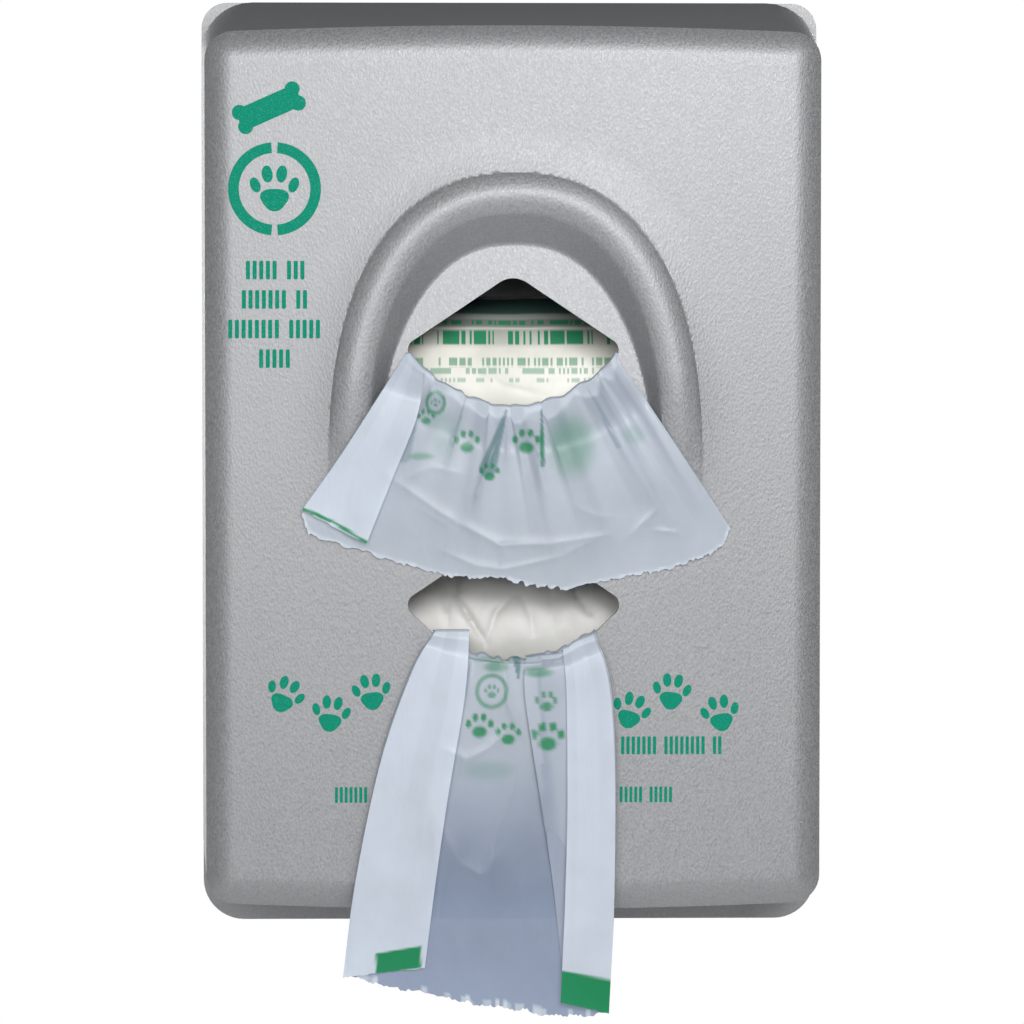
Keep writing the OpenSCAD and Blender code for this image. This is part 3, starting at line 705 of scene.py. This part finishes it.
def bone(x, z, length, width, turn_deg=0):
    """A bone's outline: an arc round each of its four knobs."""
    knob = 0.62 * width / 2
    points = []
    for side, up, start in [(1, -1, -150), (1, 1, -60), (-1, 1, 30), (-1, -1, 120)]:
        points += arc_points(side * length / 2, up * knob, knob, np.linspace(start, start + 210, 16))
    return [(x + px, z + pz) for px, pz in (turned(*place, turn_deg) for place in points)]


def dashes(x, z, width, height, stroke, seed):
    """A line of upright strokes in groups, in the place of words."""
    rng = np.random.default_rng(seed)
    shapes = []
    left = x - width / 2
    group = rng.integers(5, 9)
    while left < x + width / 2 - stroke / 2:
        if group == 0:
            left += stroke * 1.9
            group = rng.integers(5, 9)
            continue
        group -= 1
        shapes.append(rounded(left, z, stroke, height))
        left += stroke * 1.62
    return shapes


def rounded(left, bottom, width, height):
    """A rectangle's outline with rounded corners."""
    r = 0.28 * width
    right, top = left + width - r, bottom + height - r
    corners = [(right, bottom + r, -90), (right, top, 0), (left + r, top, 90), (left + r, bottom + r, 180)]
    return [place for cx, cz, start in corners
            for place in arc_points(cx, cz, r, (start, start + 45, start + 90))]


def ring_strip(x, z, r, width, start_deg, end_deg):
    """An arc's outline."""
    a = np.linspace(start_deg, end_deg, 49)
    return arc_points(x, z, r + width / 2, a) + arc_points(x, z, r - width / 2, a[::-1])


def print_piece(name, outlines):
    """Printed shapes as thin closed solids that stand a hair in front of the cover's face."""
    points, faces = [], []
    for outline in outlines:
        start, n = len(points), len(outline)
        for height in (PRINT_LOW, PRINT_HIGH):
            points += [(x, -FACE_D - float(cover_height(x, z)) - height, z) for x, z in outline]
        faces += [tuple(start + i for i in range(n))[::-1], tuple(start + n + i for i in range(n))]
        faces += [(start + i, start + (i + 1) % n, start + n + (i + 1) % n, start + n + i) for i in range(n)]
    piece = make_object(name, points, faces, teal_ink, 30)
    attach(piece, "cover")


PRINT_LOW, PRINT_HIGH = -0.25, 0.09
BADGE_X, BADGE_Z, BADGE_R, BADGE_WIDTH = -87.2, 101.5, 15.0, 3.9
badge_ring = [ring_strip(BADGE_X, BADGE_Z, BADGE_R, BADGE_WIDTH, start, start + 172) for start in (94, 274)]
print_piece("badge_print", badge_ring + paw(BADGE_X, BADGE_Z - 0.5, 19))
print_piece("bone_print", [bone(BADGE_X - 2, 131, 21, 9, 24)])
NOTICE = [(21, 68.5), (24, 57.8), (34, 47.0), (11.5, 36.2)]
notice_rows = [dashes(BADGE_X, z, w, 6.8, 1.5, 11 + k) for k, (w, z) in enumerate(NOTICE)]
print_piece("notice_print", sum(notice_rows, []))
TRACK = [(-84, -84, -24), (-67, -91, -8), (-52, -83, 6), (43, -90, -18), (58, -83, -6), (76, -91, 10)]
print_piece("track_print", sum([paw(x, z, 15, turn) for x, z, turn in TRACK], []))
print_piece("strap_line_print", dashes(58, -105.5, 37, 6.6, 1.2, 31))
print_piece("foot_line_print", dashes(-58, -123.2, 15, 5.8, 1.1, 41) + dashes(49, -123.2, 20, 5.8, 1.1, 42))


# ---- Film ----
def spline(points, t):
    """Points along a smooth curve through the given ones, for t from 0 to 1."""
    points = np.asarray(points, float)
    n = len(points) - 1
    padded = np.concatenate([[2 * points[0] - points[1]], points, [2 * points[-1] - points[-2]]])
    k = np.minimum((np.asarray(t) * n).astype(int), n - 1)
    f = (np.asarray(t) * n - k)[:, None]
    a, b, c, d = (padded[k + i] for i in range(4))
    second = 2 * a - 5 * b + 4 * c - d
    third = 3 * b - a - 3 * c + d
    return 0.5 * (2 * b + (c - a) * f + second * f ** 2 + third * f ** 3)


def segment_distance(x, z, start, end):
    """Distance from a segment, and how far along it (0 to 1)."""
    ax, az = start
    bx, bz = end
    length2 = (bx - ax) ** 2 + (bz - az) ** 2
    along = ((x - ax) * (bx - ax) + (z - az) * (bz - az)) / length2
    t = np.clip(along, 0, 1)
    return np.hypot(x - ax - t * (bx - ax), z - az - t * (bz - az)), t


def crease(x, z, route, height, width):
    """A sharp ridge along a route, which dies away at both of its ends."""
    ridge = np.zeros_like(x)
    parts = len(route) - 1
    for k in range(parts):
        far, t = segment_distance(x, z, route[k], route[k + 1])
        along = (k + t) / parts
        ridge = np.maximum(ridge, np.exp(-far / width) * np.sin(math.pi * np.clip(along, 0.02, 0.98)) ** 0.5)
    return height * ridge


def lip_z(kind, x):
    """Height of an opening's lower edge at x."""
    lip_r = (EYE_HALF ** 2 + EYE_DIP ** 2) / (2 * EYE_DIP)
    return EYE_Z[kind] + lip_r - EYE_DIP - np.sqrt(lip_r ** 2 - np.clip(x, -37.5, 37.5) ** 2)


def waves(u, seed, low, high, count):
    """Smooth uneven waves across the film, between -1 and 1."""
    rng = np.random.default_rng(seed)
    total = np.zeros_like(u)
    for _ in range(count):
        total += np.sin(math.tau * (u * rng.uniform(low, high) + rng.uniform())) / count ** 0.5
    return np.clip(total, -1, 1)


# Share of print green laid into the painted shade of the veil wedges.
VEIL_SHADE_TINT = 0.34
ON_TOP = 0.05
LIP_STEPS = 16


def laid_out(tracks, columns, rows):
    """A film's mesh columns between its tracks: their places in (x, z), and each one's layer and tone."""
    shaped = [spline(points, np.linspace(0, 1, rows)) for _, _, points in tracks]
    lines, layers, tones = [], [], []
    for k, count in enumerate(columns):
        last = k == len(columns) - 1
        for g in np.linspace(0, 1, count + 1)[:count + last]:
            lines.append(shaped[k] * (1 - g) + shaped[k + 1] * g)
            layers.append(tracks[k][0] * (1 - g) + tracks[k + 1][0] * g)
            tones.append(tracks[k][1] * (1 - g) + tracks[k + 1][1] * g)
    return np.array(lines), np.array(layers)[:, None], np.array(tones)[:, None]


def over_lip(x, z):
    """(x, z, depth) of each mesh column from inside the cover, over the lip and down onto the face."""
    face = cover_height(x, z)
    back = face - WALL
    way = np.array([(x * 0.96, z - 12, back - 6.5), (x * 0.98, z - 7, back - 3.2), (x, z - 2.2, back - 1.0),
                    (x, z + 0.15, back + 0.4), (x, z + 0.35, face - 0.6), (x, z - 0.3, face + 0.75)])
    steps = np.linspace(0, 1, LIP_STEPS)
    return np.array([spline(way[:, :, i], steps) for i in range(len(x))])


def write_values(obj, **values):
    """Gives the mesh a number at each of its points under each name."""
    for key, value in values.items():
        attribute = obj.data.attributes.new(key, "FLOAT", "POINT")
        attribute.data.foreach_set("value", np.asarray(value, np.float32).reshape(-1))


def make_tail(name, kind, tracks, columns, rows, drape, marks, creases, shade_veils, ruffle, seed):
    """A bag's end pulled out over its lip. A track is (layer, tone, points from lip to hem) in (x, z);
    columns says how many mesh columns there are between a track and the next. A veil is a wedge of
    painted shade, with some print green laid in, where a single ply lies over the dark behind it."""
    lines, layer, flap = laid_out(tracks, columns, rows)
    x, z = lines[..., 0], lines[..., 1]
    n = len(lines)
    across = np.linspace(0, 1, n)[:, None]
    v = np.linspace(0, 1, rows)[None, :]
    on_top = layer > ON_TOP

    rng = np.random.default_rng(seed)
    teeth = np.repeat(rng.uniform(-1, 1, n // 3 + 1), 3)[:n] * 0.7 + rng.uniform(-1, 1, n) * 0.45
    z = z + teeth[:, None] * smoothstep(0.975, 1, v) * np.where(on_top, 0.25, 1.0)

    gather = (1 - v) ** 1.3
    pleat = waves(across, seed + 1, 4, 13, 4)
    x = x + gather * waves(across, seed + 2, 5, 12, 2)
    depth = drape(v) + 1.1 * gather * np.where(on_top, 1, pleat) * smoothstep(0, 0.05, v)
    depth = depth + 0.35 * waves(across + 0.15 * v, seed + 3, 2, 6, 3) * smoothstep(0.05, 0.5, v)
    for one_crease in creases:
        depth = depth + crease(x, z, *one_crease) * smoothstep(0.02, 0.12, v)
    cover_depth = np.where(z > -FACE_TOP, cover_height(x, z), 0)
    depth = smooth_max(depth, cover_depth + 0.7, 0.8) + layer * (0.6 + 0.4 * smoothstep(0, 0.2, v))

    crinkle = ruffle * (1 + waves(across, seed + 4, 9, 22, 3)) * ~on_top
    wrap = over_lip(x[:, 0], np.maximum(z[:, 0], lip_z(kind, x[:, 0]) + 0.35) + crinkle[:, 0])
    wrap[..., 2] += layer * 0.6
    x, z, depth = (np.concatenate([wrap[..., k], below[:, 1:]], 1) for k, below in enumerate((x, z, depth)))
    total = x.shape[1]
    points = np.stack([x, -FACE_D - depth, z], -1).reshape(-1, 3)
    faces = [(i * total + j, i * total + j + 1, (i + 1) * total + j + 1, (i + 1) * total + j)
             for i in range(n - 1) for j in range(total - 1)]
    tail = make_object(name, points, faces, bag_film, 60)

    def outside(value):
        """The value below the lip, and 0 on the way over it."""
        return np.concatenate([np.zeros((n, LIP_STEPS)), (value * np.ones((n, 1)))[:, 1:]], 1)

    # Painted highlights along the hem: its cut edge is lightened, more in short random runs, as where light
    # catches it.
    hem_glints = np.repeat(rng.uniform(0, 1, n // 2 + 1), 2)[:n, None] ** 3
    tone = flap + (0.2 + 0.5 * hem_glints) * outside(smoothstep(0.975, 0.99, v))
    # Painted light and shade on the pleats: one side of each pleat near the lip is lightened and the other
    # darkened.
    tone = tone + 0.16 * outside(gather * np.tanh(4 * pleat)) * (tone > 0.3)
    # Painted shade: single plies of tone under 0.3 run from the plain ply colour to the shade colour as |z|
    # goes from 85 to 160 mm, darker towards the bottom.
    tone = np.where(tone < 0.3, 0.6 - 0.55 * smoothstep(85, 160, np.abs(z)), tone)
    # Painted shade in each veil wedge: the tone is pulled down towards the shade colour and some print green
    # is laid in, as if a single ply showed the dark behind it.
    thin = np.zeros_like(x)
    for start, end, width, wide, level in shade_veils:
        thin = np.maximum(thin, level * soft_wedge(x, z, start, end, width, wide))
    thin = np.where(flap < 0.8, thin, 0)
    write_values(tail, tone=tone * (1 - thin), print=np.maximum(marks(x, z, flap), VEIL_SHADE_TINT * thin))
    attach(tail, "cover")
    return tail


def soft_oval(x, z, cx, cz, rx, rz, edge=0.35):
    """1 inside an ellipse and 0 outside, with a soft edge."""
    r = np.hypot((x - cx) / rx, (z - cz) / rz)
    return 1 - smoothstep(1 - edge, 1 + edge * 0.3, r)


def soft_wedge(x, z, start, end, width, wide):
    """1 near a segment and 0 away from it; its width grows from start to end."""
    far, t = segment_distance(x, z, start, end)
    half = (width + (wide - width) * t) / 2
    return 1 - smoothstep(0.75, 1.15, far / half)


def soft_box(x, z, span_x, span_z):
    """1 inside a box and 0 outside, with a soft edge."""
    within = np.minimum(np.minimum(x - span_x[0], span_x[1] - x), np.minimum(z - span_z[0], span_z[1] - z))
    return smoothstep(-0.35, 0.35, within)


def soft_paw(x, z, cx, cz, size):
    """1 inside a paw print and 0 outside, with a soft edge."""
    mark = soft_oval(x, z, cx, cz - 0.17 * size, 0.28 * size, 0.22 * size)
    for tx, tz, *_ in TOES:
        mark = np.maximum(mark, soft_oval(x, z, cx + tx * size, cz + tz * size, 0.11 * size, 0.16 * size))
    return mark


def soft_badge(x, z, cx, cz, rx, rz, width):
    """1 on an ellipse's line and on the paw inside it, and 0 elsewhere."""
    r = np.hypot((x - cx) / rx, (z - cz) / rz)
    line = 1 - smoothstep(0.3 * width, width, np.abs(r - 1) * min(rx, rz))
    return np.maximum(line, soft_paw(x, z, cx, cz - 0.05 * rz, 1.15 * rx))


def with_marks(x, z, mark, paws, patches):
    """A mark with paws (x, z, size, strength) and soft patches (x, z, half sizes, strength) added."""
    for *place, level in paws:
        mark = np.maximum(mark, level * soft_paw(x, z, *place))
    for *place, level in patches:
        mark = np.maximum(mark, level * soft_oval(x, z, *place, 0.6))
    return mark


UPPER_LIP = [(-39.3, 41.6), (-26.2, 30.8), (-11.9, 24.0), (-1.6, 22.0), (13.4, 24.2), (28.0, 31.8),
             (38.2, 39.4)]
UPPER_HEM = [(-77.4, -17.6), (-73.6, -25.4), (-54.4, -31.1), (-30.6, -37.7), (-21.4, -40.4), (-4.9, -40.3),
             (7.9, -43.6), (20.7, -44.8), (37.1, -40.6), (50.0, -38.8), (64.6, -35.1), (75.4, -30.4),
             (79.6, -22.6)]


def upper_tracks():
    """The upper tail: a flap folded over on the left, then one fan to the right edge."""
    flap_edge = [(-32.8, 34.4), (-35.5, 18.0), (-44.6, -5.0), (-53.8, -28.0)]
    fold = [(-39.3, 41.6), (-51.8, 21.6), (-64.8, 1.8), (-77.2, -15.6)]
    tracks = [(2.3, 1.0, flap_edge), (1.9, 1.0, fold)]
    shares = np.linspace(0, 1, 15)
    for top, hem in zip(spline(UPPER_LIP, shares), spline(UPPER_HEM, shares)):
        tracks.append((0.0, 0.62, [top, top * 0.62 + hem * 0.38, top * 0.28 + hem * 0.72, hem]))
    return tracks


def upper_drape(v):
    """How far the upper tail stands in front of the cover's face, down its length."""
    return -2.6 + 8.8 * smoothstep(0, 0.24, v) - 4.6 * smoothstep(0.3, 1, v)


UPPER_PAWS = [(-32, 18, 7, 0.9), (-17, 9, 10, 0.9), (4.6, 9, 11, 0.95), (-8.9, -2.0, 8, 0.95)]
UPPER_PATCHES = [(10.2, 8.0, 1.0, 9.0, 0.95), (21.0, 8.0, 10.0, 13.0, 0.5), (-34.0, 4.0, 6.0, 1.6, 0.55),
                 (-9.0, 1.5, 2.6, 5.0, 0.35), (44.0, 12.0, 5.0, 4.0, 0.25), (-25.0, 12.0, 7.0, 10.0, 0.22)]


def upper_marks(x, z, flap):
    """Print that shows through the upper tail, and the green line along its flap's hem."""
    main = 0.8 * soft_badge(x, z, -28.5, 23.5, 3.2, 3.8, 0.9)
    main = with_marks(x, z, main, UPPER_PAWS, UPPER_PATCHES)
    hem_line = np.interp(x, [-77.2, -66, -53.8], [-15.6, -20.4, -28.0])
    line = (1 - smoothstep(0.45, 1.0, np.abs(z - hem_line - 0.5))) * flap
    return np.clip(np.where(flap > 0.95, line, main * 0.9), 0, 1)


UPPER_CREASES = [
    ([(-46, -3), (-26, -17), (-4.9, -28.5), (14, -28), (35, -24.9)], 1.7, 2.6),
    ([(-27, -30), (-14, -36), (-3.5, -37.5), (16, -33), (33, -25)], 1.1, 2.0),
    ([(-5, -27), (-3.4, -32), (-4.5, -38)], 0.9, 1.6),
    ([(53, -15), (40, -27.5)], 1.0, 1.7),
    ([(51, -23), (61, -24.2)], 0.9, 1.5),
    ([(26.9, 26.7), (35.7, 13.2), (56.5, -20.7)], 0.9, 1.6),
    ([(46, 24), (58, 2), (66, -12)], 0.6, 2.0),
    ([(-14.5, 24.2), (-21.8, 12.1), (-25, 0)], 1.2, 1.4),
    ([(-1.8, 20), (-7.9, 5.2), (-13.5, -10.2), (-13.9, -17.2)], 1.5, 1.5),
    ([(-1.8, 19), (-2.4, 1.8)], 1.2, 1.2),
    ([(9.0, 21.6), (9.3, -0.7), (11, -9)], 1.4, 1.3),
    ([(-39, -4), (-30, 0), (-16, -3)], 0.6, 1.6),
    ([(14, -10), (30, -18), (44, -19)], 0.6, 2.4),
    ([(-36, -14), (-20, -24)], 0.6, 2.4),
]

# Wedges of painted shade on the upper tail: (start, end, width at start, width at end, strength).
UPPER_SHADE_VEILS = [((-2.6, 20.5), (-9.5, -0.5), 0.8, 6.5, 0.75), ((10.3, 21), (10.6, 1), 0.8, 1.8, 0.8),
               ((-35, 22), (-40, 4), 1.5, 5.0, 0.4), ((27, 30), (38, 8), 0.5, 2.5, 0.3),
               ((-17.5, 25), (-22.5, 8), 0.5, 1.6, 0.35)]
UPPER_COLUMNS = [46, 4] + [15] * 14
upper_tail = make_tail("upper_bag_tail", "upper", upper_tracks(), UPPER_COLUMNS, 96, upper_drape, upper_marks,
                       UPPER_CREASES, UPPER_SHADE_VEILS, 0.25, 5)
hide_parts("upper_bag")

LOWER_FOLD_LEFT = [(-29.5, -59.9), (-37.5, -74), (-48.9, -107.2), (-58.0, -151.2), (-62.6, -187.0)]
LOWER_FOLD_RIGHT = [(29.1, -61.1), (34.6, -78), (37.0, -110.0), (36.8, -160.0), (35.0, -200.4)]


def lower_tracks():
    """The lower tail: a flap on the left, the back ply, a tucked ply and a flap on the right."""
    flap_left = [(-16.3, -59.9), (-18.0, -84), (-24.3, -121.9), (-29.0, -155), (-32.6, -183.8)]
    back = []
    hem = [(-62.6, -187.0), (-41.5, -191.4), (-17.8, -196.9), (-1.3, -198.7), (17.0, -202.0), (35.0, -200.4)]
    left, right = (spline(fold, np.linspace(0, 1, 5)) for fold in (LOWER_FOLD_LEFT, LOWER_FOLD_RIGHT))
    shares = np.linspace(0, 1, 9)
    for share, end in zip(shares, spline(hem, shares)):
        line = left * (1 - share) + right * share
        line[0, 1] = lip_z("lower", line[0, 0]) + 0.4
        line[-1] = end
        line[3] = line[3] * 0.7 + (line[0] * 0.25 + end * 0.75) * 0.3
        back.append((0.0, 0.0, line))
    tucked = [(4.0, -69.5), (3.8, -84.0), (9.0, -118.0), (14.1, -151.2), (18.0, -186.0)]
    between = [(17.0, -68.0), (19.2, -81.0), (23.0, -114.0), (25.5, -155.6), (26.5, -193.2)]
    flap_right = [(17.0, -66.6), (18.6, -84.0), (19.2, -125.0), (18.6, -160.0), (17.2, -196.4)]
    # Painted shade: the plies tucked on the right take tones of 0.35 to 0.5, below a plain ply's 0.6.
    return ([(1.6, 1.0, flap_left), (1.4, 1.0, LOWER_FOLD_LEFT)] + back
            + [(0.8, 0.35, LOWER_FOLD_RIGHT), (0.8, 0.35, between), (0.8, 0.35, tucked),
               (1.3, 0.5, between), (1.9, 0.7, LOWER_FOLD_RIGHT),
               (2.3, 1.0, LOWER_FOLD_RIGHT), (2.4, 1.0, flap_right)])


def lower_drape(v):
    """How far the lower tail stands in front of the cover's face, down its length."""
    return -0.4 + 3.6 * smoothstep(0, 0.12, v) - 1.6 * smoothstep(0.3, 1, v)


LOWER_PAWS = [(-12.5, -95, 11, 0.95), (-2.0, -98, 10, 0.95), (12.0, -86, 9, 0.85), (12.5, -99, 13, 0.95)]
LOWER_PATCHES = [(-6.5, -73.0, 5.5, 2.4, 0.6), (9.0, -75, 6.0, 2.2, 0.7), (-9, -111, 11, 4, 0.22),
                 (-4.0, -70.3, 14.0, 1.6, 0.32)]


def lower_marks(x, z, flap):
    """Print that shows through the lower tail, and the green blocks at its flaps' hems."""
    main = 0.65 * soft_badge(x, z, -8.0, -82, 5.4, 5.8, 1.1)
    main = with_marks(x, z, main, LOWER_PAWS, LOWER_PATCHES)
    base = np.interp(x, [-51, -32], [-187.0, -183.8])
    left = soft_box(x, z - base, (-50.5, -34.0), (0.6, 8.6))
    right = soft_box(x, z + 0.2 * x, (16.5, 60), (-230, -181.0))
    block = np.where(flap > 0.9, np.maximum(left, right), 0.0)
    return np.clip(np.maximum(block, np.where(flap < 0.6, main * 0.95, main * 0.12)), 0, 1)


LOWER_CREASES = [
    ([(-25, -103), (-17, -107), (-9, -103), (-4, -98)], 1.3, 2.2),
    ([(-28, -128), (-20, -145), (-12, -150), (-2, -138)], 1.2, 4.0),
    ([(-30, -122), (-27, -160), (-30, -186)], 0.9, 3.0),
    ([(-4, -70), (-2, -86), (4, -100)], 1.2, 1.6),
    ([(-15, -70), (-17, -84)], 0.8, 1.4),
    ([(2, -110), (-8, -140), (-12, -170)], 0.9, 4.0),
    ([(-52, -118), (-57, -150), (-59, -180)], 1.0, 2.6),
    ([(12, -70), (12.5, -82)], 0.8, 1.2),
    ([(25, -66), (27.5, -100)], 0.5, 2.0),
    ([(-22, -170), (-16, -192)], 0.7, 2.6),
    ([(4, -150), (2, -185)], 0.7, 4.0),
]

# A wedge of painted shade on the lower tail: (start, end, width at start, width at end, strength).
LOWER_SHADE_VEILS = [((1.0, -69.5), (1.8, -77.5), 3.0, 0.6, 0.95)]
LOWER_COLUMNS = [34, 4] + [14] * 8 + [4, 12, 12, 12, 12, 4, 26]
lower_tail = make_tail("lower_bag_tail", "lower", lower_tracks(), LOWER_COLUMNS, 180, lower_drape,
                       lower_marks, LOWER_CREASES, LOWER_SHADE_VEILS, 0.7, 9)
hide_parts("lower_bag")


# ---- Rolls ----
ROLL_TURNS, ROLL_STATIONS, END_RINGS = 300, 120, 26


def roll_end(points, faces, ring, side, centre, bore):
    """Adds a roll's stepped end, ring by ring from its outer edge in; returns the ring at its bore."""
    for k in range(1, END_RINGS + 1):
        share = k / END_RINGS
        rim = (ROLL_R - 1.5) * (1 - share) + (bore + 0.02) * share
        inset = 0.25 + 0.22 * (k % 2) + 0.35 * math.sin(9 * share) ** 2
        inner = list(range(len(points), len(points) + ROLL_TURNS))
        points += [(side * (ROLL_HALF - inset), -ROLL_D - rim * math.cos(b), centre + rim * math.sin(b))
                   for b in round_angles(ROLL_TURNS)]
        faces += [quad if side > 0 else quad[::-1] for quad in between_rings(ring, inner)]
        ring = inner
    return ring


def make_roll(kind, material, creases, printed, washed):
    """A roll of folded film: a creased outside and stepped ends. Printed rows are bands of angle, and the
    wash, part print and part painted shade on the roll's upper side, is given as (angle, strength) points;
    both come again at each quarter turn."""
    centre = ROLL_Z[kind]
    core_low, core_high = box_mm(f"{kind}_core")
    bore = (core_high[2] - core_low[2]) / 2
    station = np.linspace(-ROLL_HALF, ROLL_HALF, ROLL_STATIONS)
    a, x = np.meshgrid(round_angles(ROLL_TURNS), station, indexing="ij")
    front = smoothstep(0.0, 0.3, np.cos(a))
    dent = 0.35 * (1 + waves(x / 98 + 0.3 * np.sin(a), 3 + len(kind), 1, 4, 3)) * 0.5
    dent += 0.12 * (1 + np.sin(7 * a + x * 0.02))
    for route, height, width in creases:
        dent += crease(x, centre + ROLL_R * np.sin(a), route, height, width) * front
    r = ROLL_R - 0.05 - dent - 0.9 * (1 - smoothstep(0, 0.9, ROLL_HALF - np.abs(x)))
    points = np.stack([x, -ROLL_D - r * np.cos(a), centre + r * np.sin(a)], -1).reshape(-1, 3).tolist()
    grid = np.arange(a.size).reshape(a.shape)
    after = np.roll(grid, -1, 0)
    corners = (grid[:, :-1], after[:, :-1], after[:, 1:], grid[:, 1:])
    faces = list(zip(*(c.reshape(-1).tolist() for c in corners)))
    left = roll_end(points, faces, grid[:, 0], -1, centre, bore)
    right = roll_end(points, faces, grid[:, -1], 1, centre, bore)
    faces += between_rings(left, right)
    roll = make_object(f"{kind}_film_roll", points, faces, material, 40)

    quarter = np.degrees(a) % 90
    mark, row = np.zeros_like(a), np.zeros_like(a)
    for low, high, level in printed:
        mark = np.where((quarter > low) & (quarter < high), level, mark)
        row = np.where((quarter > low - 1.3) & (quarter < high + 1.3), level, row)
    mark = mark * smoothstep(0, 6, ROLL_HALF - np.abs(x))
    wash = np.interp(quarter, *np.transpose(washed))
    ends = np.zeros(len(points) - a.size)
    write_values(roll, print=np.append(mark, ends), row=np.append(row, ends), wash=np.append(wash, ends))
    uv = np.zeros((len(points), 2))
    uv[:a.size] = np.stack([x + ROLL_HALF, a * ROLL_R], -1).reshape(-1, 2) * MM
    corner = np.empty(len(roll.data.loops), int)
    roll.data.loops.foreach_get("vertex_index", corner)
    roll.data.uv_layers.new(name="wound").data.foreach_set("uv", uv[corner].reshape(-1))
    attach(roll, f"{kind}_spool")
    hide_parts(f"{kind}_roll")


PRINTED_ROWS = [(7.3, 10.7, 0.55), (12.6, 15.8, 0.63), (17.8, 21.9, 0.71), (31.0, 40.0, 0.95),
                (44.5, 48.5, 0.86)]
# Wash strength by angle in each quarter turn, part print and part painted shade; strongest from 56 to 76
# degrees, the roll's shaded upper side.
PRINT_AND_SHADE_WASH = [(0, 0), (28, 0), (29.5, 0.1), (31, 0.25), (41, 0.4), (41.6, 0.08), (42.8, 0.1), (43.4, 0.7),
          (49, 0.7), (50, 0.45), (54, 0.55), (56, 0.93), (76, 0.96), (79, 0), (90, 0)]
make_roll("upper", upper_roll_film, [([(-20, 42), (-4, 30), (12, 26)], 0.4, 1.2)], PRINTED_ROWS, PRINT_AND_SHADE_WASH)
make_roll("lower", lower_roll_film, [
    ([(-22, -34), (-21, -48), (-10, -66)], 2.0, 1.3), ([(-10, -66), (-6, -54), (2, -46)], 1.0, 2.0),
    ([(2, -46), (7, -56), (8, -64)], 0.9, 2.0), ([(21, -36), (24, -48), (30, -56)], 1.6, 1.8),
    ([(-25, -40), (-24, -60)], 1.0, 1.6), ([(14, -40), (15, -60)], 0.8, 2.4)], [], [(0, 0), (90, 0)])


# ---- Stage ----
FLOOR_R, FLOOR_Z = 1500, -520


def make_stage():
    """A pale round floor below, a bright world to the camera, and a dim one to everything else."""
    disc = [(FLOOR_R * math.cos(a), FLOOR_R * math.sin(a), FLOOR_Z) for a in round_angles(64)]
    floor = make_object("floor", disc, [tuple(range(64))])
    material, tree, shader = nodes_of("floor_paint")
    feed(tree, shader, {"Base Color": (0.82, 0.82, 0.82, 1), "Roughness": 0.7})
    glow = add(tree, "Emission", {"Color": (0.86, 0.87, 0.88, 1), "Strength": 1.0}).outputs[0]
    share = calculate(tree, "MULTIPLY", add(tree, "LightPath").outputs["Is Camera Ray"], 0.8)
    paint = add(tree, "MixShader", {0: share, 1: shader.outputs[0], 2: glow}).outputs[0]
    feed(tree, tree.nodes["Material Output"], {"Surface": paint})
    floor.data.materials.append(material)

    world = bpy.data.worlds.new("studio")
    bpy.context.scene.world = world
    world.use_nodes = True
    tree = world.node_tree
    tree.nodes.clear()
    seen = add(tree, "Background", {"Color": (1, 1, 1, 1), "Strength": 1.0}).outputs[0]
    dim = add(tree, "Background", {"Color": (0.9, 0.95, 1.0, 1), "Strength": 0.08}).outputs[0]
    ray = add(tree, "LightPath").outputs["Is Camera Ray"]
    add(tree, "OutputWorld", {"Surface": add(tree, "MixShader", {0: ray, 1: dim, 2: seen}).outputs[0]})
    bpy.context.scene.view_settings.view_transform = "Standard"


def lamp(name, place, aim, size, watts):
    """A soft rectangular lamp."""
    data = bpy.data.lights.new(name, "AREA")
    data.shape = "RECTANGLE"
    data.size, data.size_y = size
    data.energy = watts
    obj = bpy.data.objects.new(name, data)
    obj.location = place
    obj.rotation_euler = (Vector(aim) - Vector(place)).to_track_quat("-Z", "Y").to_euler()
    bpy.context.scene.collection.objects.link(obj)


make_stage()
lamp("rear_right", (0.95, 1.30, 0.10), (0.05, 0, 0), (0.8, 0.8), 26)
lamp("rear_left", (-1.10, 0.95, 0.10), (-0.05, 0, 0), (0.8, 0.8), 14)
lamp("key", (0.34, -1.10, 0.50), (0.02, -0.1, 0.10), (0.7, 0.5), 8.8)
lamp("front", (-0.20, -1.55, 0.34), (0, -0.1, 0.04), (1.2, 0.7), 15)
